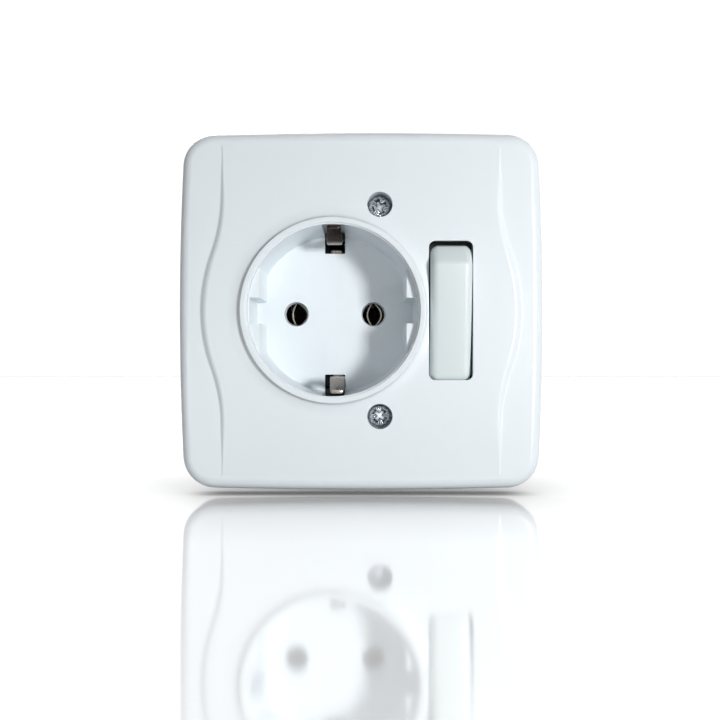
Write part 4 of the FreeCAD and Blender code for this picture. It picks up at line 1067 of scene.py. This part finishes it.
def make_earth_strap():
    """The strap with a clip at each end; the clips differ a little, as in the photograph."""
    shape = bmesh.new()
    thick = 0.8
    middle = -13.6
    root = 17.8
    pad_z = 3.6
    for side, x, knee, lip in ((1, WELL_X + 0.15, 16.1, 19.2), (-1, WELL_X + 0.9, 15.3, 18.6)):
        corners = [(0, middle), (side * root, middle), (side * root, -3.5), (side * knee, 2.9),
                   (side * lip, 8.4), (side * lip, 8.8)]
        route = rounded_route(corners, 1.6)
        swept_strip(shape, route, x, 3.6, thick)
    piece = piece_from("earth_clips", shape, 50)
    pad = prism("pad", rounded_rectangle(WELL_X, pad_z, 3.5, 3.5, 0.5, 4),
                middle - thick / 2, middle + thick / 2)
    combine(piece, pad, "UNION")
    hole = prism("hole", circle_points(WELL_X, pad_z, 1.55, 32), middle - 1.4, middle + 1.6)
    combine(piece, hole)
    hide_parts("earth_strap")
    return finish_piece(piece, "housing", "earth_steel")


# the CAD pieces that keep their shape

def dress_cad_nodes():
    slots = {item["node"]: item["material_slot"] for item in frame["record"]["subparts"]}
    for name, node in frame["nodes"].items():
        material = MATERIALS[slots[name]]
        node.data.materials.clear()
        node.data.materials.append(material)


# the stage, the lights and the camera

FLOOR_Z = -43.6
STAGE_HALF = 6000
BACKDROP_BACK = -1400
EYE_AWAY = 187
VIEW_WIDE = 162.5


def seen_ray(nodes, links):
    """1 for rays from the camera, off gloss or through glass, and 0 for those that only light."""
    path = nodes.new("ShaderNodeLightPath")
    so_far = path.outputs["Is Camera Ray"]
    for name in ("Is Glossy Ray", "Is Transmission Ray"):
        either = nodes.new("ShaderNodeMath")
        either.operation = "MAXIMUM"
        links.new(so_far, either.inputs[0])
        links.new(path.outputs[name], either.inputs[1])
        so_far = either.outputs[0]
    return so_far


def stage_material(name, mirror, glow, shadow_reach, bounce_share):
    """White to the camera and in reflections, and grey as bounce_share to the light that it returns.

    mirror is the share of gloss, glow the white's own strength. Within shadow_reach, in metres,
    other faces darken it; 0 leaves that out.
    """
    material = bpy.data.materials.new(name)
    nodes, links = nodes_of(material)
    nodes.clear()
    output = nodes.new("ShaderNodeOutputMaterial")
    plain = nodes.new("ShaderNodeBsdfDiffuse")
    plain.inputs["Color"].default_value = (0.85, 0.85, 0.86, 1)
    bounce = nodes.new("ShaderNodeBsdfDiffuse")
    bounce.inputs["Color"].default_value = (bounce_share, bounce_share, bounce_share, 1)
    white = nodes.new("ShaderNodeEmission")
    white.inputs["Strength"].default_value = glow
    if shadow_reach:
        near = nodes.new("ShaderNodeAmbientOcclusion")
        near.samples = 12
        near.inputs["Distance"].default_value = shadow_reach
        links.new(near.outputs["Color"], white.inputs["Color"])
    lit = nodes.new("ShaderNodeAddShader")
    links.new(plain.outputs[0], lit.inputs[0])
    links.new(white.outputs[0], lit.inputs[1])
    seen = nodes.new("ShaderNodeMixShader")
    seen.inputs[0].default_value = mirror
    shine = nodes.new("ShaderNodeBsdfGlossy")
    shine.inputs["Roughness"].default_value = 0.08
    if shadow_reach:
        links.new(near.outputs["Color"], shine.inputs["Color"])
    links.new(lit.outputs[0], seen.inputs[1])
    links.new(shine.outputs[0], seen.inputs[2])
    choice = nodes.new("ShaderNodeMixShader")
    links.new(seen_ray(nodes, links), choice.inputs[0])
    links.new(bounce.outputs[0], choice.inputs[1])
    links.new(seen.outputs[0], choice.inputs[2])
    links.new(choice.outputs[0], output.inputs["Surface"])
    return material


def make_stage():
    square = [(-STAGE_HALF, -STAGE_HALF), (STAGE_HALF, -STAGE_HALF),
              (STAGE_HALF, STAGE_HALF), (-STAGE_HALF, STAGE_HALF)]
    floor = prism("floor", square, -1, 0)
    floor.data.transform(Matrix.Rotation(math.radians(90), 4, "X"))
    floor.data.transform(Matrix.Translation(Vector((0, 0, FLOOR_Z * MM))))
    floor.data.materials.append(stage_material("floor_white", 0.68, 0.98, 0.05, 0.45))
    wall = prism("backdrop", square, BACKDROP_BACK - 2, BACKDROP_BACK)
    wall.data.materials.append(stage_material("backdrop_white", 0.0, 1.0, 0, 0.5))


def area_light(name, position, target, size, power):
    light = bpy.data.lights.new(name, "AREA")
    light.shape = "SQUARE"
    light.size = size
    light.energy = power
    lamp = bpy.data.objects.new(name, light)
    bpy.context.scene.collection.objects.link(lamp)
    lamp.location = position
    lamp.rotation_euler = (Vector(target) - Vector(position)).to_track_quat("-Z", "Y").to_euler()
    return lamp


def make_lights():
    """A small key lamp to the right of the camera, a faint fill, a back light and a low band."""
    key_way = Vector((math.sin(math.radians(33)), -math.cos(math.radians(33)), 0.05))
    area_light("key", key_way * 0.42, (0.01, 0, 0), 0.072, 1.37)
    area_light("fill", (-0.085, -0.095, -0.022), (-0.02, 0, -0.03), 0.035, 0.014)
    area_light("back", (-0.2, 0.5, 0.45), (0, 0, 0), 0.3, 1.4)
    band = area_light("band", (0.10, -0.6, -0.03), (0.10, 0, -0.03), 0.5, 0.28)
    band.data.shape = "RECTANGLE"
    band.data.size_y = 0.13
    world = bpy.data.worlds.new("studio")
    bpy.context.scene.world = world
    world.use_nodes = True
    background = world.node_tree.nodes["Background"]
    background.inputs["Color"].default_value = (0.975, 0.99, 1.0, 1)
    strength = world.node_tree.nodes.new("ShaderNodeMapRange")
    strength.inputs["To Min"].default_value = 0.12
    strength.inputs["To Max"].default_value = 1.03
    links = world.node_tree.links
    links.new(seen_ray(world.node_tree.nodes, links), strength.inputs["Value"])
    links.new(strength.outputs["Result"], background.inputs["Strength"])


def make_camera():
    """EYE_AWAY in front of the ring and level with its lower half; it sees VIEW_WIDE there."""
    camera = bpy.data.cameras.new("camera")
    camera.sensor_width = 36
    camera.lens = camera.sensor_width * EYE_AWAY / VIEW_WIDE
    camera.clip_start = 0.01
    eye = bpy.data.objects.new("camera", camera)
    bpy.context.scene.collection.objects.link(eye)
    eye.location = Vector((-0.25, -(EYE_AWAY + RIM_HEIGHT), -11.3)) * MM
    eye.rotation_euler = (math.radians(90), 0, 0)
    bpy.context.scene.camera = eye


make_camera()
dress_cad_nodes()
make_cover()
make_key()
for screw_side, screw_name, screw_spin in ((1, "cover_screw_upper", 0.35),
                                           (-1, "cover_screw_lower", 0.9)):
    make_cover_screw(screw_name + "_dressed", screw_side, screw_spin)
make_earth_strap()
make_pin_contact("live_contact", WELL_X - PIN_OFFSET, (0.75, 2.1))
make_pin_contact("neutral_contact", WELL_X + PIN_OFFSET, (1.0, 1.5))
make_stage()
make_lights()
bpy.context.scene.view_settings.view_transform = "Standard"
